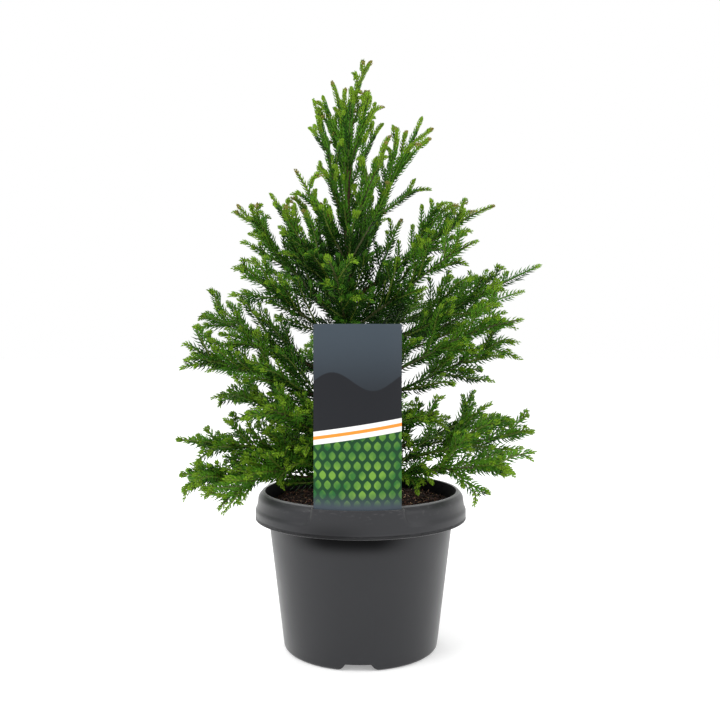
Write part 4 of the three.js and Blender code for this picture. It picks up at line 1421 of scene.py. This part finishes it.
class CRYPTOMERIA_OT_wood(bpy.types.Operator):
    """Grows the trunk and the boughs, with bark in relief"""

    bl_idname = "cryptomeria.make_wood"
    bl_label = "Trunk and boughs"

    def execute(self, context):
        settings = context.scene.cryptomeria_wood
        colours = (settings.bark_dark, settings.bark_light)
        looks = {"scale": 900, "roughness": 0.8, "depth": 0.0004, "specular": 0.3}
        bark = mottled("stringy_bark", *colours, stretch=(1, 1, 0.12), **looks)
        shares = np.linspace(0, 1, TRUNK.rings) ** TRUNK.ring_power
        heights = mix(SOIL.top - TRUNK.sunk, TRUNK.tip + TRUNK.past_tip, shares)
        trunk = swept("trunk_bark", trunk_centre(heights), trunk_radius(heights), TRUNK.resolution)
        roughen(trunk, lambda point: trunk_centre(point[2]), settings.ridge_depth)
        only(trunk)
        bpy.ops.object.shade_smooth()
        dress(trunk, [bark], "bark", "trunk")
        limbs = [limb for limb in grown_crown()[0] if limb.bare > 0]
        boughs = []
        for limb in limbs:
            places = np.linspace(0, limb.bare + BOUGH.past_bare, BOUGH.rings)
            collar = 1 + BOUGH.collar * np.exp(-places / BOUGH.collar_fade)
            radii = limb.bark_radius(places) * collar
            name = f"bough_{limb.name}_bark"
            boughs.append(swept(name, limb.stem.at(places), radii, BOUGH.resolution))
        only(boughs[0])
        for bough in boughs:
            bough.select_set(True)
        bpy.ops.object.join()
        joined = named("boughs_bark")
        points = vertices_of(joined)
        lumps = [noise.noise(Vector(point) * BARK.bough_lumps) for point in points]
        normals = np.array([vertex.normal for vertex in joined.data.vertices])
        move_vertices(joined, points + normals * np.array(lumps)[:, None] * settings.ridge_depth)
        bpy.ops.object.shade_smooth()
        dress(joined, [bark], "bark", *(f"bough_{limb.name}" for limb in limbs))
        return {"FINISHED"}


# ---- twigs and needles


def frames_along(line, places):
    """Points of a line with its heading and two directions square to it, turned evenly all along."""
    points = line.at(places)
    heading = line.heading(places)
    steady, _ = square_to(unit(line.at(1.0) - line.at(0.0)))
    across = np.cross(steady, heading)
    across /= np.linalg.norm(across, axis=1, keepdims=True)
    return points, heading, across, np.cross(heading, across)


def twig_mesh(shoot):
    """A tapering twig with a pointed tip, its foot sunk in what carries it."""
    sides = STEM_SIDES[shoot.rank]
    rings = max(3, math.ceil(shoot.size / STEM_STEP))
    places = np.linspace(shoot.start, 1, rings + 1)[:-1]
    points, _, across, above = frames_along(shoot.line, places)
    radii = mix(*STEM_RADII[shoot.rank], places)[:, None, None]
    turn = np.arange(sides) / sides * 2 * math.pi
    ring = across[:, None] * np.cos(turn)[None, :, None] + above[:, None] * np.sin(turn)[None, :, None]
    body = (points[:, None] + ring * radii).reshape(-1, 3)
    corners = np.vstack([body, points[:1], shoot.line.at(1.0)[None]])
    foot, tip = len(body), len(body) + 1
    last = (rings - 1) * sides
    faces = []
    for side in range(sides):
        after = (side + 1) % sides
        faces += [(foot, after, side), (last + side, last + after, tip)]
        for low in range(0, last, sides):
            high = low + sides
            faces += [(low + side, low + after, high + after), (low + side, high + after, high + side)]
    return corners, np.array(faces)


def joined_mesh(meshes):
    """Several arrays of points and faces as one."""
    points, faces = zip(*meshes)
    firsts = np.cumsum([0] + [len(corners) for corners in points[:-1]])
    return np.vstack(points), np.vstack([rows + first for rows, first in zip(faces, firsts)])


def exposure(points):
    """0 at the trunk, 1 at the crown's outline."""
    return np.clip(from_trunk(points) / np.maximum(crown_reach(points[:, 2]), 0.02), 0, 1)


def needle_rows(shoot, settings, chance):
    """Needles of one shoot: their five points each, and their kinds."""
    size = shoot.size
    club = min(NEEDLE.club, NEEDLE.club_share * size)
    middle_height = shoot.line.at(0.5)[2]
    low = low_share(middle_height)
    pitch = settings.pitch * mix(1, NEEDLE.high_pitch, height_share(middle_height))
    pitch = pitch * mix(1, NEEDLE.low_pitch, low)
    body = np.arange(NEEDLE.sunk if shoot.rank else 0.0, size - club, pitch)
    along = np.concatenate([body, np.arange(size - club, size, settings.tip_pitch)])
    count = len(along)
    places = along / size
    points, heading, across, above = frames_along(shoot.line, places)
    wander = np.array([next(chance) for _ in range(3 * count)]).reshape(3, count) - 0.5
    turn = np.arange(count) * math.radians(settings.divergence) + NEEDLE.turn_jitter * wander[0]
    outward = across * np.cos(turn)[:, None] + above * np.sin(turn)[:, None]
    sideways = np.cross(heading, outward)

    # Size and angle: less near the tip, least in the club that closes it.
    to_tip = size - along
    high = height_share(points[:, 2])
    grown = ease(to_tip / mix(NEEDLE.grown_by, NEEDLE.high_grown_by, high))
    closed = (1 - ease((to_tip - NEEDLE.club_start * club) / club)) * mix(NEEDLE.low_club, 1, high)
    length = mix(settings.length, settings.high_length, high) * mix(1, NEEDLE.low_length, low)
    length = mix(settings.young_length, length, grown) * (1 + NEEDLE.length_jitter * wander[1])
    end_length = settings.tip_length * mix(NEEDLE.end_length, 1, ease(to_tip / NEEDLE.end_by))
    length = mix(length, end_length, closed)
    opening = mix(settings.young_opening, mix(settings.opening, settings.high_opening, high), grown)
    opening = np.radians(mix(opening, NEEDLE.club_angle, closed) + NEEDLE.angle_jitter * wander[2])
    curl = np.radians(mix(NEEDLE.curl, NEEDLE.club_curl, closed))

    def towards(angle):
        return heading * np.cos(angle)[:, None] + outward * np.sin(angle)[:, None]

    root = points + outward * (NEEDLE.root_share * shoot.radius_at(places))[:, None]
    middle = root + towards(opening + NEEDLE.curl_foot * curl) * (NEEDLE.foot_share * length)[:, None]
    end = middle + towards(opening + NEEDLE.curl_tip * curl) * (NEEDLE.tip_share * length)[:, None]
    stout = mix(NEEDLE.young_width, 1, np.maximum(grown, closed)) + NEEDLE.high_width * high
    stout = stout + NEEDLE.low_width * low
    half = 0.5 * settings.width * stout[:, None]
    keel = towards(opening + math.pi / 2) * half
    edges = [middle + side * sideways * half - keel * NEEDLE.back for side in (1, -1)]
    rows = np.stack([root, *edges, middle + keel * NEEDLE.keel, end], axis=1)
    return rows, kinds_of(shoot, points, outward[:, 2], to_tip, wander[0], next(chance))


def kinds_of(shoot, points, facing_up, to_tip, wander, age):
    """Which colour each needle takes, by its place on the shoot and in the crown and by the age, with
    darker greens as painted shade on undersides and, in part, far in.
    """
    # Needles further in are darker, partly as older needles and partly as painted shade; the top and the
    # low sprays count as further out.
    shown = exposure(points)
    high = height_share(points[:, 2])
    outer = shown + HUE.high * high * (1 - shown)
    outer = outer + HUE.low * low_share(points[:, 2]) + HUE.wander * wander
    young = FRESH if age > HUE.fresh_age else LEAF
    kinds = np.where(outer > HUE.fresh_from, young, np.where(outer > HUE.leaf_from, LEAF, DEEP))
    # Painted shade: needles on a shoot's underside take the next darker green.
    under = facing_up + HUE.turn_wander * wander < HUE.underside
    kinds = np.where(under, np.minimum(kinds + 1, DEEP), kinds)
    tip = HUE.tip if shoot.rank < 2 else HUE.twig_tip
    at_tip = to_tip < tip * (HUE.tip_least + HUE.tip_age * age) * (1 + HUE.tip_high * high)
    in_shade = np.where(at_tip & (kinds == DEEP), LEAF, kinds)
    kinds = np.where(at_tip & (outer > HUE.tender_from), TENDER, in_shade)
    tanned = (to_tip < HUE.tanned) & (points[:, 2] > HUE.tanned_height) & (outer > HUE.tanned_from)
    return np.where(tanned & (age > HUE.tanned_age) & (shoot.rank < 2), BRONZE, kinds)


def nodes_of(part):
    """The foliage nodes that belong to one part of the crown."""
    limbs, _ = grown_crown()
    return [f"foliage_{limb.name}" for limb in limbs if limb.part == part]


class CRYPTOMERIA_OT_twigs(bpy.types.Operator):
    """Grows the stems and twigs that carry the needles"""

    bl_idname = "cryptomeria.make_twigs"
    bl_label = "Twigs"

    def execute(self, context):
        colours = context.scene.cryptomeria_wood
        old, green = colours.twig_old, colours.twig_green
        looks = {"scale": 500, "roughness": 0.6, "depth": 0.0002}
        old = mottled("olive_twig_skin", darker(old, 0.6), old, **looks)
        looks = {"scale": 400, "roughness": 0.5, "depth": 0.0001}
        green = mottled("green_twig_skin", darker(green, 0.7), green, **looks)
        _, shoots = grown_crown()
        for part in CROWN_PARTS:
            own = [shoot for shoot in shoots if shoot.part == part and shoot.start < 1]
            for name, skin, ranks in (("stems", old, (0,)), ("twigs", green, (1, 2))):
                meshes = [twig_mesh(shoot) for shoot in own if shoot.rank in ranks]
                piece = piece_from(f"{name}_{part}", *joined_mesh(meshes), smooth=True)
                dress(piece, [skin], "needles", *nodes_of(part))
        return {"FINISHED"}


class CRYPTOMERIA_OT_needles(bpy.types.Operator):
    """Sets needles in a spiral along every stem and twig, and joins those of one colour"""

    bl_idname = "cryptomeria.make_needles"
    bl_label = "Needles"

    def execute(self, context):
        settings = context.scene.cryptomeria_needles
        looks = {"scale": 130, "roughness": 0.5, "depth": 0.0001, "specular": 0.06}
        skins = []
        for kind in KINDS:
            colour = getattr(settings, kind)
            skins.append(mottled(f"{kind}_needle", darker(colour, 0.75), colour, **looks))
        _, shoots = grown_crown()
        for part in CROWN_PARTS:
            found = [
                needle_rows(shoot, settings, seeded(SEEDS.needles + number))
                for number, shoot in enumerate(shoots)
                if shoot.part == part
            ]
            needles, kinds = (np.concatenate(arrays) for arrays in zip(*found))
            for kind, name in enumerate(KINDS):
                self.add_pieces(part, name, needles[kinds == kind], skins[kind])
        return {"FINISHED"}

    def add_pieces(self, part, name, needles, skin):
        """Joins the needles of one colour, as many to a piece as it may hold."""
        for number, start in enumerate(range(0, len(needles), NEEDLES_PER_PIECE)):
            some = needles[start : start + NEEDLES_PER_PIECE]
            faces = NEEDLE_FACES[None] + 5 * np.arange(len(some))[:, None, None]
            label = f"needles_{part}_{name}_{number + 1}"
            piece = piece_from(label, some.reshape(-1, 3), faces.reshape(-1, 3))
            dress(piece, [skin], "needles", *nodes_of(part))


# ---- stage


class CRYPTOMERIA_OT_stage(bpy.types.Operator):
    """Adds the pale floor, the soft lights and the camera"""

    bl_idname = "cryptomeria.make_stage"
    bl_label = "Stage"

    def execute(self, context):
        scene = context.scene
        floor = added("floor", bpy.ops.mesh.primitive_plane_add, size=14, location=(0, 3, -0.0002))
        settle(floor)
        pale = Surface("pale_floor", roughness=0.6, specular=0.2)
        pale.shade({"Base Color": (0.8, 0.8, 0.8)})
        pale.shade({"Emission Color": (1, 1, 1), "Emission Strength": 0.29})
        floor.data.materials.append(pale.material)
        world = bpy.data.worlds.new("studio")
        world.use_nodes = True
        sky = world.node_tree.nodes["Background"].inputs
        sky["Color"].default_value = (1, 1, 1, 1)
        sky["Strength"].default_value = 1.0
        scene.world = world
        scene.view_settings.view_transform = "Standard"
        for name, light in LIGHTS.items():
            self.add_light(name, *light)
        self.add_camera(scene)
        return {"FINISHED"}

    def add_light(self, name, place, size, power):
        """A square soft light that faces the middle of the plant."""
        light = added(name, bpy.ops.object.light_add, type="AREA", location=place)
        light.data.size = size
        light.data.energy = power
        light.rotation_euler = (LIT_POINT - Vector(place)).to_track_quat("-Z", "Y").to_euler()

    def add_camera(self, scene):
        tilt = (math.radians(90 - CAMERA.pitch), 0, 0)
        camera = added("camera", bpy.ops.object.camera_add, location=CAMERA.place, rotation=tilt)
        width, height = CAMERA.frame
        longest = max(width, height)
        camera.data.sensor_width = CAMERA.sensor
        camera.data.lens = CAMERA.sensor * CAMERA.focal / longest
        camera.data.shift_x = (width / 2 - CAMERA.centre[0]) / longest
        camera.data.shift_y = (CAMERA.centre[1] - height / 2) / longest
        camera.data.clip_start = 0.01
        scene.camera = camera


# ---- panel and registration


class CRYPTOMERIA_PT_panel(bpy.types.Panel):
    """Lists the pieces of the plant with their settings."""

    bl_idname = "CRYPTOMERIA_PT_panel"
    bl_label = "Potted Cryptomeria"
    bl_space_type = "VIEW_3D"
    bl_region_type = "UI"
    bl_category = "Cryptomeria"

    def draw(self, context):
        scene = context.scene
        for operator in MAKERS:
            self.layout.operator(operator.bl_idname, text=operator.bl_label)
        for group in (scene.cryptomeria_pot, scene.cryptomeria_wood, scene.cryptomeria_needles):
            box = self.layout.box()
            for name in group.__annotations__:
                box.prop(group, name)


MAKERS = (
    CRYPTOMERIA_OT_stage,
    CRYPTOMERIA_OT_pot,
    CRYPTOMERIA_OT_soil,
    CRYPTOMERIA_OT_label,
    CRYPTOMERIA_OT_wood,
    CRYPTOMERIA_OT_twigs,
    CRYPTOMERIA_OT_needles,
)
GROUPS = {
    "cryptomeria_pot": CryptomeriaPot,
    "cryptomeria_wood": CryptomeriaWood,
    "cryptomeria_needles": CryptomeriaNeedles,
}


CLASSES = (*GROUPS.values(), *MAKERS, CRYPTOMERIA_PT_panel)


def register():
    for each in CLASSES:
        bpy.utils.register_class(each)
    for name, group in GROUPS.items():
        setattr(bpy.types.Scene, name, PointerProperty(type=group))


def unregister():
    for name in GROUPS:
        delattr(bpy.types.Scene, name)
    for each in reversed(CLASSES):
        bpy.utils.unregister_class(each)


def main():
    register()
    bpy.ops.cryptomeria.make_stage()
    bpy.ops.cryptomeria.make_pot()
    bpy.ops.cryptomeria.make_soil()
    bpy.ops.cryptomeria.make_label()
    bpy.ops.cryptomeria.make_wood()
    bpy.ops.cryptomeria.make_twigs()
    bpy.ops.cryptomeria.make_needles()
    leave_all()


if __name__ == "__main__":
    main()
